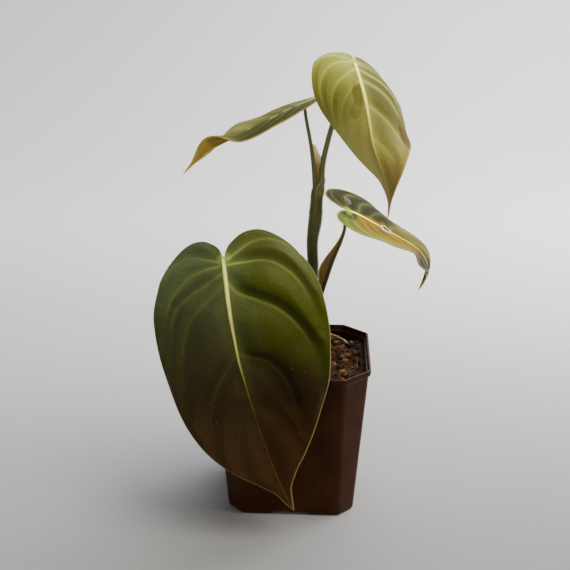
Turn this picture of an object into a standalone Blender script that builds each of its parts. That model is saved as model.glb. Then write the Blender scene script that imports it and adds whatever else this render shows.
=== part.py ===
"""Young velvet-leaf philodendron growing in a 57 mm square nursery pot.

Metres, +Z up.  The origin is the middle of the pot's underside, which stands on z = 0.
-Y is the front, where the largest leaf hangs before the pot; +X is to the right.
"""
import math

import bmesh
import bpy
import numpy as np
from mathutils import Vector

MM = 0.001

# ---------------------------------------------------------------- clearances
TOUCH_GAP = 0.3 * MM        # left between any two pieces that touch
CUT_OVERRUN = 2.0 * MM      # how far a cutter runs past the face it opens

# ---------------------------------------------------------------- pot
POT_TOP_WIDTH = 57.0 * MM   # across the flats, at the lip
POT_BASE_WIDTH = 46.0 * MM
POT_HEIGHT = 56.0 * MM
POT_TOP_CHAMFER = 9.0 * MM  # how far each corner is cut back along the side
POT_BASE_CHAMFER = 5.5 * MM
POT_CREASE = 1.2 * MM       # rounding where a side meets a corner face
SECTION_POINTS = 24         # eight creases of three points each round the pot and the mix
POT_WALL = 0.9 * MM
POT_FLOOR = 2.6 * MM
LIP_HEIGHT = 2.8 * MM
LIP_FLARE = 0.7 * MM
FOOT_EDGE = 1.2 * MM        # bevel round the underside
CHANNEL_WIDTH = 12.0 * MM   # the notch in the middle of each side of the base
CHANNEL_LENGTH = 8.5 * MM   # inwards from the side
CHANNEL_HEIGHT = 1.6 * MM
CHANNEL_SLOPE = 1.4 * MM    # the notch is this much wider at the bottom, each end
SLOT_WIDTH = 3.4 * MM       # drain slot through each channel's roof
SLOT_LENGTH = 7.0 * MM
SLOT_INSET = 2.2 * MM       # from the pot's side to the slot
INNER_HALF = POT_TOP_WIDTH / 2 - LIP_FLARE - POT_WALL   # half the opening, below the lip

# ---------------------------------------------------------------- potting mix
MIX_DEPTH_BELOW_LIP = 8.5 * MM
MIX_HEAP = 4.0 * MM         # how much higher the mix is heaped at the right
MIX_LUMP = 0.9 * MM         # height of its lumps
MIX_RINGS = (0.88, 0.74, 0.6, 0.46, 0.32, 0.18)     # shares of the outline, edge to middle
CHIP_LENGTH = 0.1316 * POT_TOP_WIDTH
CHIP_WIDTH = 0.625 * CHIP_LENGTH
CHIP_THICKNESS = 0.32 * CHIP_LENGTH
CHIP_LUMPS = 0.13           # how far a chip's surface swings in and out, as a share of its size
CHIP_SINK = 0.35            # share of a chip's thickness that is under the surface
# Where each husk chip lies: its place as shares of the pot's inner half width, heading and size.
CHIPS = [
    (0.62, 0.62, 30, 0.8), (0.72, 0.16, 100, 0.9), (0.50, -0.12, 60, 1.1), (0.72, -0.40, 15, 0.9),
    (0.42, -0.66, 150, 1.1), (0.02, -0.55, 80, 1.0), (-0.40, -0.62, 20, 0.9), (-0.62, -0.10, 70, 1.1),
    (-0.52, 0.52, 130, 1.0), (0.0, 0.66, 10, 1.0),
]

# ---------------------------------------------------------------- stem
STEM_TOP = POT_HEIGHT + 62.5 * MM       # the fork
STEM_FOOT = POT_HEIGHT - 16.0 * MM      # in the mix
STEM_RADIUS = 1.9 * MM
# Its centre (mm to the right of and behind the pot's axis) and its swelling, at shares of its height.
STEM_LINE = [(6.0, 3.0), (6.3, 2.6), (6.9, 1.6), (7.3, 1.0), (7.1, 1.0), (8.0, 1.0), (8.4, 1.0), (8.7, 1.0)]
STEM_HEIGHTS = [0.0, 0.16, 0.42, 0.62, 0.74, 0.83, 0.92, 1.0]
STEM_SWELLING = [0.95, 1.0, 1.08, 0.92, 0.95, 1.1, 1.0, 1.05]

# ---------------------------------------------------------------- blades
BLADE_THICKNESS = 0.6 * MM
BLADE_ROWS = 23
BLADE_COLUMNS = 6           # in each half
# One half of the heart, as (share of the length, share of the half width), sinus to tip.
HEART = [
    (0.000, 0.000), (-0.035, 0.030), (-0.085, 0.140), (-0.115, 0.340), (-0.085, 0.580),
    (0.020, 0.840), (0.170, 0.980), (0.330, 1.000), (0.500, 0.900), (0.660, 0.680),
    (0.790, 0.410), (0.870, 0.190), (0.920, 0.085), (0.960, 0.045), (1.000, 0.000),
]
SINUS_POINTS = slice(1, 3)  # those that bound the sinus
LOBE = 0.2                  # the midrib's line runs back this share of the length, under the lobes

# Each blade hangs from its base, the junction with its petiole: right of the pot's axis, behind
# it and above the pot's lip (mm).  Along the midrib, at each station
# (share of the length): the direction it runs in, as azimuth and pitch in degrees; the roll
# of its face about the midrib; and for each half, its fold and its curl towards the margin.
# The lobes behind the junction may be deeper or shallower than the heart's, and the sinus
# between them narrower, by a factor.
STATIONS = [0.0, 0.25, 0.5, 0.75, 1.0]
HALF_STATIONS = [0.0, 0.4, 0.75, 1.0]
LEAVES = {
    "front": dict(
        length=94.0 * MM, half=32.0 * MM, base=(-22.3, 3.5 - POT_TOP_WIDTH / 2 / MM, 41.8),
        face=(0.0, -1.0, 0.25),
        azimuth=[-81, -55, 20, -16, -8], pitch=[-38, -73, -76, -70, -61], roll=[-4, -8, -8, 1, -4],
        left=[(-11, -15), (-6, -20), (8, -20), (2, 1)], right=[(-2, -25), (-4, -24), (7, -20), (1, 0)]),
    "upper_right": dict(
        length=61.5 * MM, half=17.2 * MM, base=(20.4, -9.5, 105.0), face=(-0.3, -1.0, 0.3),
        lobes=0.75, sinus=0.05,
        azimuth=[-84, -77, -75, -54, -39], pitch=[-15, -35, -55, -55, -107], roll=[32, 4, -14, -45, -56],
        left=[(29, -59), (0, -62), (-9, -47), (0, -26)],
        right=[(-21, -52), (-33, -69), (-21, -88), (32, -32)]),
    "upper_left": dict(
        length=48.4 * MM, half=16.1 * MM, base=(3.3, -0.7, 90.4), face=(0.0, 0.0, 1.0),
        azimuth=[187, 194, 184, 195, 216], pitch=[-20, -28, -23, -33, -42], roll=[-15, -11, -10, -60, -61],
        left=[(15, -7), (23, -27), (56, -47), (31, -64)],
        right=[(-6, -20), (5, -27), (-3, -55), (-23, -41)]),
    "lower_right": dict(
        length=54.5 * MM, half=15.1 * MM, base=(17.4 + STEM_RADIUS / MM, -4.7, 54.1),
        face=(0.0, 0.0, 1.0), lobes=1.25,
        azimuth=[44, 34, 26, 10, 68], pitch=[-22, -33, -30, -62, -173], roll=[-36, -20, -8, -21, -34],
        left=[(-17, 44), (-11, 18), (3, -18), (14, -61)],
        right=[(-7, 5), (30, -33), (21, -66), (26, -60)]),
}

# ---------------------------------------------------------------- petioles
# The points (mm; right, behind, above the lip) that each leaf stalk runs through, from inside
# the stem to just short of its blade, and its radius (mm) at either end.
PETIOLES = {
    "front": dict(points=[(6.4, 2.3, 5), (2.0, -3.0, 14), (-6.0, -10.0, 24), (-15.0, -17.0, 32)],
                  radii=(1.25, 0.85), hook=4.0),
    "lower_right": dict(points=[(6.9, 1.4, 11), (9.4, 0.9, 19), (13.9, -1.2, 34), (18.2, -3.6, 47.2)],
                        radii=(0.95, 0.5), hook=0.8),
    "upper_left": dict(points=[(7.5, 0.9, 60), (7.1, 0.7, 67), (6.2, 0.3, 75), (4.3, -0.3, 85.5)],
                       radii=(0.8, 0.55), hook=1.0),
    "upper_right": dict(points=[(9.9, 1.0, 60), (10.2, 1.0, 69), (11.8, 1.0, 77), (15.5, 0.0, 90)],
                        radii=(1.05, 0.7), hook=4.0),
}                           # hook: length of the last bend (mm), which meets the blade square on

# ---------------------------------------------------------------- roots and sheaths
ROOT_RADIUS = 0.9 * MM
ROOT_COUNT = 5
ROOT_SPREAD = 15.0 * MM
ROOT_SHORTER = 0.88         # length of every second root beside its neighbours
ROOT_FLOOR_CLEARANCE = 6.0 * MM
# Each root's course: how far out, how far down, and how much of the stem's offset it keeps.
ROOT_COURSE = [(0.35, 0.10, 1.0), (0.80, 0.45, 0.6), (1.0, 1.0, 0.2)]
SURFACE_ROOT_RADIUS = 0.75 * MM
# Places of the root that arches over the mix: shares of the pot's inner half width to the right
# and behind, and its height over the mix (mm).
SURFACE_ROOT = [(0.36, 0.41, 7.6), (0.51, 0.69, 5.6), (0.70, 0.71, 1.9), (0.83, 0.58, -0.9)]
SHEATH_THICKNESS = 0.5 * MM
SHEATH_UPPER_TOP = STEM_TOP + 12.0 * MM
SHEATH_UPPER_SHRINK = 0.85  # share of its width that the upper sheath loses towards its tip
SHEATH_LOWER = (16.0, 48.0)     # the heights above the lip (mm) that the lower sheath spans
SHEATH_LEAN = (1.0, 0.25, 0.0)  # the way its width runs, away from the petiole
# Its width (mm) at shares of its height.
SHEATH_WIDTHS = [(0.0, 0.4), (0.3, 1.2), (0.52, 2.9), (0.62, 2.2), (0.75, 1.0), (1.0, 0.35)]

# ---------------------------------------------------------------- finishes
FINISHES = {
    "pot_plastic": ("#2a1a12", 0.38),
    "coir_mix": ("#4a3018", 0.95),
    "husk_chip": ("#6b4423", 0.9),
    "root_skin": ("#7a6442", 0.7),
    "stem_green": ("#44461f", 0.5),
    "sheath_skin": ("#6a5a2c", 0.5),
    "velvet_leaf": ("#3c4120", 0.75),
    "young_leaf": ("#7d7a3c", 0.6),
}


def finish(name):
    """The named material, made once and shared."""
    if name in bpy.data.materials:
        return bpy.data.materials[name]
    colour, roughness = FINISHES[name]
    made = bpy.data.materials.new(name)
    made.use_nodes = True
    shader = made.node_tree.nodes["Principled BSDF"]
    parts = [int(colour[i:i + 2], 16) / 255 for i in (1, 3, 5)]
    linear = [c / 12.92 if c <= 0.04045 else ((c + 0.055) / 1.055) ** 2.4 for c in parts]
    shader.inputs["Base Color"].default_value = (*linear, 1.0)
    shader.inputs["Roughness"].default_value = roughness
    shader.inputs["Metallic"].default_value = 0.0
    return made


def solid(name, points, faces, finish_name, sharp=35.0):
    """A closed mesh object whose faces all point out."""
    work = bmesh.new()
    corners = [work.verts.new(Vector(point)) for point in points]
    for face in faces:
        work.faces.new([corners[i] for i in face])
    bmesh.ops.recalc_face_normals(work, faces=work.faces)
    mesh = bpy.data.meshes.new(name)
    work.to_mesh(mesh)
    work.free()
    mesh.shade_smooth()
    mesh.set_sharp_from_angle(angle=math.radians(sharp))
    made = bpy.data.objects.new(name, mesh)
    made.data.materials.append(finish(finish_name))
    bpy.context.collection.objects.link(made)
    return made


def as_cutter(made):
    """Hide an object that only shapes others."""
    made.hide_render = True
    made.display_type = "WIRE"
    return made


def cut(target, cutter):
    """Take the cutter's shape out of the target."""
    tool = target.modifiers.new("cut_" + cutter.name, "BOOLEAN")
    tool.operation = "DIFFERENCE"
    tool.solver = "EXACT"
    tool.object = cutter


def through(stations, values, at):
    """A smooth curve (cubic Hermite, slopes from its neighbours) through values at stations."""
    stations = np.asarray(stations, float)
    values = np.asarray(values, float)
    slopes = np.gradient(values, stations, axis=0)
    at = np.clip(np.atleast_1d(at), stations[0], stations[-1])
    i = np.clip(np.searchsorted(stations, at, side="right") - 1, 0, len(stations) - 2)
    span = stations[i + 1] - stations[i]
    t = (at - stations[i]) / span
    if values.ndim == 2:
        span = span[:, None]
        t = t[:, None]
    start = (2 * t**3 - 3 * t**2 + 1) * values[i] + (t**3 - 2 * t**2 + t) * span * slopes[i]
    end = (3 * t**2 - 2 * t**3) * values[i + 1] + (t**3 - t**2) * span * slopes[i + 1]
    return start + end


def unit(vectors):
    """The same directions, one long."""
    return vectors / np.linalg.norm(vectors, axis=-1, keepdims=True)


def above_lip(place):
    """A place given in mm, its height from the pot's lip, as one in metres from the pot's underside."""
    return np.array(place) * MM + (0.0, 0.0, POT_HEIGHT)


def smooth_path(points, rows):
    """Points at even steps along a smooth curve through the given ones (metres)."""
    points = np.asarray(points, float)
    steps = np.linalg.norm(np.diff(points, axis=0), axis=1)
    length = np.concatenate([[0.0], np.cumsum(steps)])
    return through(length / length[-1], points, np.linspace(0.0, 1.0, rows))


def stretched(line, extra):
    """The line with each end carried on by extra."""
    first = line[0] - unit(line[1] - line[0]) * extra
    last = line[-1] + unit(line[-1] - line[-2]) * extra
    return np.vstack([first, line[1:-1], last])


def tube(name, line, radii, sides, finish_name):
    """Circles of the given radii round the line, joined and capped."""
    line = np.asarray(line, float)
    radii = np.broadcast_to(radii, len(line))
    along = unit(np.gradient(line, axis=0))
    side = unit(np.cross(along[0], (0.3, 1.0, 0.2)))
    turns = np.linspace(0.0, 2.0 * math.pi, sides, endpoint=False)
    points = []
    for centre, direction, radius in zip(line, along, radii):
        side = unit(side - direction * side.dot(direction))
        other = np.cross(direction, side)
        ring = np.outer(np.cos(turns), side) + np.outer(np.sin(turns), other)
        points.extend(centre + radius * ring)
    faces = loft_faces(len(line), sides)
    return solid(name, points, faces, finish_name, sharp=60.0)


def loft_faces(rings, sides):
    """Faces between closed rings of equal count, with a flat cap at each end."""
    faces = [list(range(sides))]
    for i in range(rings - 1):
        for j in range(sides):
            k = (j + 1) % sides
            faces.append([i * sides + j, i * sides + k, (i + 1) * sides + k, (i + 1) * sides + j])
    faces.append([(rings - 1) * sides + j for j in range(sides)])
    return faces


# ---------------------------------------------------------------- the pot
def pot_outline(height, inset):
    """Corners of the pot's outline at a height (one value or one per corner).

    The outline is a square that grows from the base to the lip, with its four corners cut
    back and each crease rounded by three points.  A positive inset moves every side inwards.
    """
    share = np.clip(np.asarray(height, float) / POT_HEIGHT, -0.5, 1.5)
    body_top = POT_TOP_WIDTH - 2 * LIP_FLARE
    half = (POT_BASE_WIDTH + (body_top - POT_BASE_WIDTH) * share) / 2 - inset
    chamfer = POT_BASE_CHAMFER + (POT_TOP_CHAMFER - POT_BASE_CHAMFER) * share
    chamfer = chamfer - (2 - math.sqrt(2)) * inset
    ends = [(1, -1, 0), (1, -1, 1), (1, 1, 1), (1, 1, 0), (-1, 1, 0), (-1, 1, 1), (-1, -1, 1), (-1, -1, 0)]
    half = np.broadcast_to(half, SECTION_POINTS)
    chamfer = np.broadcast_to(chamfer, SECTION_POINTS)
    creases = np.zeros((8, 3, 2))
    for k, (sx, sy, on_side) in enumerate(ends):
        block = slice(3 * k, 3 * k + 3)
        creases[k, :, 0] = sx * (half[block] - (0 if on_side else chamfer[block]))
        creases[k, :, 1] = sy * (half[block] - (chamfer[block] if on_side else 0))
    before = unit(np.roll(creases, 1, axis=0) - creases) * POT_CREASE
    after = unit(np.roll(creases, -1, axis=0) - creases) * POT_CREASE
    rounded = np.zeros((8, 3, 2))
    rounded[:, 0] = (creases + before)[:, 0]
    rounded[:, 1] = (creases + before / 4 + after / 4)[:, 1]
    rounded[:, 2] = (creases + after)[:, 2]
    return rounded.reshape(SECTION_POINTS, 2)


def pot_ring(height, inset):
    """One level ring of the pot's surface."""
    flat = pot_outline(height, inset)
    return np.column_stack([flat, np.full(SECTION_POINTS, height)])


def make_pot():
    """Tapered square pot with cut corners, a flared lip, four feet and four drain slots."""
    lip_foot = POT_HEIGHT - LIP_HEIGHT
    profile = [
        (0.0, FOOT_EDGE), (0.3 * FOOT_EDGE, 0.3 * FOOT_EDGE), (FOOT_EDGE, 0.0), (lip_foot, 0.0),
        (lip_foot + LIP_FLARE, -LIP_FLARE), (POT_HEIGHT - 0.3 * POT_WALL, -LIP_FLARE),
        (POT_HEIGHT, 0.3 * POT_WALL - LIP_FLARE), (POT_HEIGHT, 0.8 * POT_WALL - LIP_FLARE),
        (POT_HEIGHT - 0.2 * POT_WALL, POT_WALL - LIP_FLARE),
        (lip_foot + 2 * LIP_FLARE, POT_WALL - LIP_FLARE),
        (lip_foot, POT_WALL), (POT_FLOOR, POT_WALL),
    ]
    points = np.vstack([pot_ring(height, inset) for height, inset in profile])
    pot = solid("pot", points, loft_faces(len(profile), SECTION_POINTS), "pot_plastic", sharp=25.0)
    for k in range(4):
        cut(pot, channel_cutter(k))
        cut(pot, slot_cutter(k))
    return pot


def turned(points, quarter):
    """Points turned about the pot's axis by quarter turns."""
    angle = quarter * math.pi / 2
    x, y = np.asarray(points, float)[:, 0], np.asarray(points, float)[:, 1]
    return np.column_stack([
        x * math.cos(angle) - y * math.sin(angle), x * math.sin(angle) + y * math.cos(angle),
        np.asarray(points, float)[:, 2]])


def channel_cutter(quarter):
    """A notch with sloping ends, from one side of the base inwards."""
    outer = POT_BASE_WIDTH / 2 + CUT_OVERRUN
    inner = POT_BASE_WIDTH / 2 - CHANNEL_LENGTH
    top = CHANNEL_WIDTH / 2
    foot = top + CHANNEL_SLOPE * (1 + CUT_OVERRUN / CHANNEL_HEIGHT)
    section = [(-foot, -CUT_OVERRUN), (foot, -CUT_OVERRUN), (top, CHANNEL_HEIGHT), (-top, CHANNEL_HEIGHT)]
    points = [(x, y, z) for x in (inner, outer) for y, z in section]
    made = solid(f"channel_{quarter}", turned(points, quarter), loft_faces(2, 4), "pot_plastic")
    return as_cutter(made)


def slot_cutter(quarter):
    """A drain slot through the roof of the channel."""
    outer = POT_BASE_WIDTH / 2 - SLOT_INSET
    inner = outer - SLOT_LENGTH
    half = SLOT_WIDTH / 2
    low, high = CHANNEL_HEIGHT / 2, POT_FLOOR + CUT_OVERRUN
    section = [(-half, low), (half, low), (half, high), (-half, high)]
    points = [(x, y, z) for x in (inner, outer) for y, z in section]
    made = solid(f"slot_{quarter}", turned(points, quarter), loft_faces(2, 4), "pot_plastic")
    return as_cutter(made)


# ---------------------------------------------------------------- the potting mix
def mix_height(x, y):
    """Height of the mix: level, heaped towards the right, and lumpy."""
    half = POT_TOP_WIDTH / 2
    heap = MIX_HEAP * (0.5 + 0.5 * np.tanh(3.0 * (x / half - 0.35)))
    lumps = np.sin(x / (3.1 * MM)) * np.cos(y / (2.7 * MM)) + 0.5 * np.sin((x + 2 * y) / (4.7 * MM))
    return POT_HEIGHT - MIX_DEPTH_BELOW_LIP + heap + MIX_LUMP * lumps / 1.5


def make_mix():
    """The pot's filling, a touch gap clear of its walls and floor."""
    inset = POT_WALL + TOUCH_GAP
    floor = pot_ring(POT_FLOOR + TOUCH_GAP, inset)
    edge = pot_outline(POT_HEIGHT - MIX_DEPTH_BELOW_LIP, inset)
    level = mix_height(edge[:, 0], edge[:, 1])
    edge = pot_outline(level, inset)
    rings = [floor, np.column_stack([edge, level])]
    for share in MIX_RINGS:
        flat = edge * share
        rings.append(np.column_stack([flat, mix_height(flat[:, 0], flat[:, 1])]))
    return solid("potting_mix", np.vstack(rings), loft_faces(len(rings), SECTION_POINTS), "coir_mix", sharp=60.0)


def chip_points(share_x, share_y, heading, size, extra):
    """An uneven flattened ball, grown by extra, lying in the mix."""
    work = bmesh.new()
    bmesh.ops.create_icosphere(work, subdivisions=2, radius=1.0)
    ball = np.array([vert.co[:] for vert in work.verts])
    faces = [[vert.index for vert in face.verts] for face in work.faces]
    work.free()
    ball = ball * (1 + CHIP_LUMPS * np.sin(3.1 * ball[:, :1] + heading) * np.cos(2.7 * ball[:, 1:2] + size * 9))
    half = np.array([CHIP_LENGTH / 2, CHIP_WIDTH / 2, CHIP_THICKNESS / 2]) * size
    shape = ball * (half + extra)
    tilt = math.radians(12 * math.sin(heading))
    turn = math.radians(heading)
    x = shape[:, 0] * math.cos(tilt) + shape[:, 2] * math.sin(tilt)
    z = shape[:, 2] * math.cos(tilt) - shape[:, 0] * math.sin(tilt)
    centre_x, centre_y = share_x * INNER_HALF, share_y * INNER_HALF
    level = mix_height(centre_x, centre_y) + (0.5 - CHIP_SINK) * CHIP_THICKNESS * size
    points = np.column_stack([
        centre_x + x * math.cos(turn) - shape[:, 1] * math.sin(turn),
        centre_y + x * math.sin(turn) + shape[:, 1] * math.cos(turn), level + z])
    return points, faces


def make_chips(mix):
    """Husk chips bedded in the mix, each in a hollow one touch gap larger."""
    chips = []
    for number, place in enumerate(CHIPS, start=1):
        points, faces = chip_points(*place, 0.0)
        chips.append(solid(f"husk_chip_{number:02d}", points, faces, "husk_chip", sharp=40.0))
        points, faces = chip_points(*place, 1.5 * TOUCH_GAP)
        cut(mix, as_cutter(solid(f"chip_hollow_{number:02d}", points, faces, "husk_chip")))
    return chips


# ---------------------------------------------------------------- stem and roots
def stem_line(rows):
    """Centre line of the stem, from its foot in the mix to the fork."""
    shares = np.linspace(0.0, 1.0, rows)
    flat = through(STEM_HEIGHTS, np.array(STEM_LINE) * MM, shares)
    return np.column_stack([flat, STEM_FOOT + (STEM_TOP - STEM_FOOT) * shares])


def make_stem():
    """The climbing stem, slightly swollen at its nodes, and the cutter of its clearance."""
    rows = 24
    line = stem_line(rows)
    radii = STEM_RADIUS * through(STEM_HEIGHTS, STEM_SWELLING, np.linspace(0.0, 1.0, rows))
    stem = tube("stem", line, radii, 12, "stem_green")
    clearance = tube("stem_clearance", stretched(line, TOUCH_GAP), radii + TOUCH_GAP, 12, "stem_green")
    return stem, as_cutter(clearance)


def tapered(start, end, rows):
    """Radii that shrink evenly from start to end."""
    return np.linspace(start, end, rows)


def make_roots(mix, stem_clearance):
    """Roots that spread from the stem's foot down through the mix."""
    foot = stem_line(2)[0]
    lowest = POT_FLOOR + TOUCH_GAP + ROOT_FLOOR_CLEARANCE
    for number in range(ROOT_COUNT):
        angle = 2 * math.pi * number / ROOT_COUNT + 0.4
        out = np.array([math.cos(angle), math.sin(angle), 0.0])
        reach = ROOT_SPREAD * (ROOT_SHORTER if number % 2 else 1.0)
        drop = foot[2] - lowest
        points = [foot + (0.0, 0.0, 2 * ROOT_RADIUS)]
        for further, lower, kept in ROOT_COURSE:
            points.append(foot * (kept, kept, 1.0) + out * further * reach - (0.0, 0.0, lower * drop))
        line = smooth_path(points, 12)
        radii = tapered(ROOT_RADIUS, ROOT_RADIUS / 2, 12)
        root = tube(f"root_{number + 1}", line, radii, 8, "root_skin")
        cut(root, stem_clearance)
        longer = stretched(line, TOUCH_GAP)
        hollow = tube(f"root_hollow_{number + 1}", longer, radii + TOUCH_GAP, 8, "root_skin")
        cut(mix, as_cutter(hollow))


def make_surface_root(mix, chips, stem_clearance):
    """One root that arches over the mix and its chips from the stem and dips back into it."""
    points = [stem_line(7)[1]]
    for share_x, share_y, rise in SURFACE_ROOT:
        x, y = share_x * INNER_HALF, share_y * INNER_HALF
        points.append((x, y, mix_height(x, y) + rise * MM))
    line = smooth_path(points, 16)
    radii = tapered(SURFACE_ROOT_RADIUS, 0.8 * SURFACE_ROOT_RADIUS, 16)
    root = tube("surface_root", line, radii, 8, "root_skin")
    cut(root, stem_clearance)
    hollow = tube("surface_root_hollow", stretched(line, TOUCH_GAP), radii + TOUCH_GAP, 8, "root_skin")
    for piece in [mix] + chips:
        cut(piece, as_cutter(hollow))


# ---------------------------------------------------------------- the blades
class Blade:
    """A heart-shaped blade, bent along its midrib, folded about it and curled in each half."""

    def __init__(self, length, half, base, face, azimuth, pitch, roll, left, right, lobes=1.0,
                 sinus=1.0):
        self.length, self.half, self.lobes = length, half, lobes
        self.outline = np.array(HEART)
        self.outline[SINUS_POINTS, 1] *= sinus
        self.left, self.right = np.radians(left), np.radians(right)
        self.shares = np.linspace(-LOBE, 1.0, 241)
        at = np.clip(self.shares, 0.0, 1.0)
        azimuth = np.radians(through(STATIONS, azimuth, at))
        pitch = np.radians(through(STATIONS, pitch, at))
        along = np.column_stack([
            np.cos(pitch) * np.cos(azimuth), np.cos(pitch) * np.sin(azimuth), np.sin(pitch)])
        step = (self.shares[1] - self.shares[0]) * length
        line = np.vstack([np.zeros(3), np.cumsum((along[1:] + along[:-1]) / 2 * step, axis=0)])
        junction = np.array([np.interp(0.0, self.shares, line[:, k]) for k in range(3)])
        self.line = line - junction + above_lip(base)
        up = unit(np.array(face) - (along @ np.array(face))[:, None] * along)
        across = np.cross(up, along)
        roll = np.radians(through(STATIONS, roll, at))[:, None]
        self.up = up * np.cos(roll) + across * np.sin(roll)
        self.across = np.cross(self.up, along)

    def point(self, down, out):
        """The place that is down the midrib and out from it, both in metres on the flat blade."""
        share = down / self.length
        line, up, across = (
            np.column_stack([np.interp(share, self.shares, track[:, k]) for k in range(3)])
            for track in (self.line, self.up, self.across))
        at = np.clip(share, 0.0, 1.0)
        angles = np.where((out < 0)[:, None], through(HALF_STATIONS, self.left, at),
                          through(HALF_STATIONS, self.right, at))
        fold = angles[:, 0]
        curl = angles[:, 1] * np.abs(out) / self.half
        curl = np.where(np.abs(curl) < 1e-6, 1e-6, curl)
        sideways = out * (np.sin(fold + curl) - np.sin(fold)) / curl
        rise = np.abs(out) * (np.cos(fold) - np.cos(fold + curl)) / curl
        return line + unit(across) * sideways[:, None] + unit(up) * rise[:, None]

    def normal(self, down, out):
        """The direction that the upper side faces there."""
        step = 0.2 * MM
        forward = self.point(down + step, out) - self.point(down - step, out)
        aside = self.point(down, out + step) - self.point(down, out - step)
        return unit(np.cross(forward, aside))

    def grid(self, rows, columns):
        """Flat places in rows from the sinus to the tip, and in columns from left to right."""
        steps = np.linalg.norm(np.diff(self.outline, axis=0), axis=1)
        length = np.concatenate([[0.0], np.cumsum(steps)])
        share = np.linspace(0.0, 1.0, rows)
        rim = through(length / length[-1], self.outline, share)
        rim[:, 0] *= np.where(rim[:, 0] < 0, self.lobes, 1.0)
        across = np.linspace(-1.0, 1.0, 2 * columns + 1)
        middle = share**2
        down = middle[:, None] + (rim[:, :1] - middle[:, None]) * np.abs(across)
        out = rim[:, 1:] * across
        return down * self.length, out * self.half


def make_blade(name, blade, finish_name):
    """The blade's upper and lower sheets, joined round the rim."""
    down, out = blade.grid(BLADE_ROWS, BLADE_COLUMNS)
    down, out = down[1:-1], out[1:-1]
    rows, columns = down.shape
    middle = blade.point(down.ravel(), out.ravel())
    offset = blade.normal(down.ravel(), out.ravel()) * BLADE_THICKNESS / 2
    ends = np.array([0.0, blade.length])
    end_points = blade.point(ends, np.zeros(2))
    end_offset = blade.normal(ends, np.zeros(2)) * BLADE_THICKNESS / 2
    points = np.vstack([middle + offset, end_points + end_offset, middle - offset, end_points - end_offset])
    count = rows * columns
    faces = []
    for side in (0, count + 2):
        for i in range(rows - 1):
            for j in range(columns - 1):
                a = side + i * columns + j
                faces.append([a, a + 1, a + 1 + columns, a + columns])
        for j in range(columns - 1):
            faces.append([side + count, side + j, side + j + 1])
            last = side + (rows - 1) * columns + j
            faces.append([side + count + 1, last, last + 1])
    for j in (0, columns - 1):
        rim = [count] + [i * columns + j for i in range(rows)] + [count + 1]
        for a, b in zip(rim, rim[1:]):
            faces.append([a, b, b + count + 2, a + count + 2])
    return solid(name, points, faces, finish_name, sharp=60.0)


# ---------------------------------------------------------------- petioles and sheaths
def petiole_line(name, blade, rows):
    """From inside the stem through the petiole's own points to the underside of its blade."""
    up = blade.normal(np.zeros(1), np.zeros(1))[0]
    junction = blade.point(np.zeros(1), np.zeros(1))[0]
    end = junction - up * (BLADE_THICKNESS / 2 + TOUCH_GAP)
    points = [above_lip(point) for point in PETIOLES[name]["points"]]
    hook = PETIOLES[name]["hook"] * MM
    return smooth_path(points + [end - up * hook, end], rows)


def make_petiole(name, blade, stem_clearance):
    """A leaf stalk that thins towards its blade and starts at the stem's side."""
    rows = 20
    start, end = PETIOLES[name]["radii"]
    line = petiole_line(name, blade, rows)
    made = tube(f"petiole_{name}", line, tapered(start * MM, end * MM, rows), 10, "stem_green")
    cut(made, stem_clearance)
    return line


def sheet(name, inner, outer, facing, finish_name):
    """A thin closed sheet between two edge lines, thickened along its facing direction."""
    rows = len(inner)
    columns = 4
    share = np.linspace(0.0, 1.0, columns)
    flat = inner[:, None, :] * (1 - share)[None, :, None] + outer[:, None, :] * share[None, :, None]
    half = unit(np.asarray(facing, float)) * SHEATH_THICKNESS / 2
    points = np.vstack([(flat + half).reshape(-1, 3), (flat - half).reshape(-1, 3)])
    faces = []
    count = rows * columns
    for side in (0, count):
        for i in range(rows - 1):
            for j in range(columns - 1):
                a = side + i * columns + j
                faces.append([a, a + 1, a + 1 + columns, a + columns])
    rim = list(range(columns)) + [i * columns + columns - 1 for i in range(1, rows)]
    rim += [(rows - 1) * columns + j for j in range(columns - 2, -1, -1)]
    rim += [i * columns for i in range(rows - 2, 0, -1)]
    for a, b in zip(rim, rim[1:] + rim[:1]):
        faces.append([a, b, b + count, a + count])
    return solid(name, points, faces, finish_name, sharp=60.0)


def at_heights(line, heights):
    """Points of an upward line at the given heights."""
    x, y = (np.interp(heights, line[:, 2], line[:, k]) for k in (0, 1))
    return np.column_stack([x, y, heights])


def make_upper_sheath(left_line, right_line):
    """The papery sheath behind the fork, from one petiole's back to the other's."""
    shares = np.linspace(0.0, 1.0, 9)
    low = STEM_TOP + 2 * TOUCH_GAP
    heights = low + (SHEATH_UPPER_TOP - low) * shares
    radius = max(PETIOLES["upper_left"]["radii"][0], PETIOLES["upper_right"]["radii"][0]) * MM
    back = (0.0, radius + TOUCH_GAP + SHEATH_THICKNESS / 2, 0.0)
    inner = at_heights(left_line, heights) + back
    outer = at_heights(right_line, heights) + back
    narrowing = np.sqrt(1.0 - SHEATH_UPPER_SHRINK * shares**3)[:, None]
    outer = inner + (outer - inner) * narrowing
    outer[:, 1] = inner[:, 1] = np.maximum(inner[:, 1], outer[:, 1])
    sheet("sheath_upper", inner, outer, (0.0, 1.0, 0.0), "sheath_skin")


def make_lower_sheath(line, stem_clearance):
    """The wing along the lower right petiole, between it and the stem."""
    shares = np.linspace(0.0, 1.0, 15)
    low, high = (POT_HEIGHT + height * MM for height in SHEATH_LOWER)
    centre = at_heights(line, low + (high - low) * shares)
    radius = PETIOLES["lower_right"]["radii"][0] * MM
    outer = centre - (radius + TOUCH_GAP, 0.0, 0.0)
    stations, widths = np.array(SHEATH_WIDTHS).T
    widths = through(stations, widths * MM, shares)
    inner = outer - np.outer(widths, SHEATH_LEAN)
    wing = sheet("sheath_lower", inner, outer, (0.25, -1.0, 0.2), "sheath_skin")
    cut(wing, stem_clearance)


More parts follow.
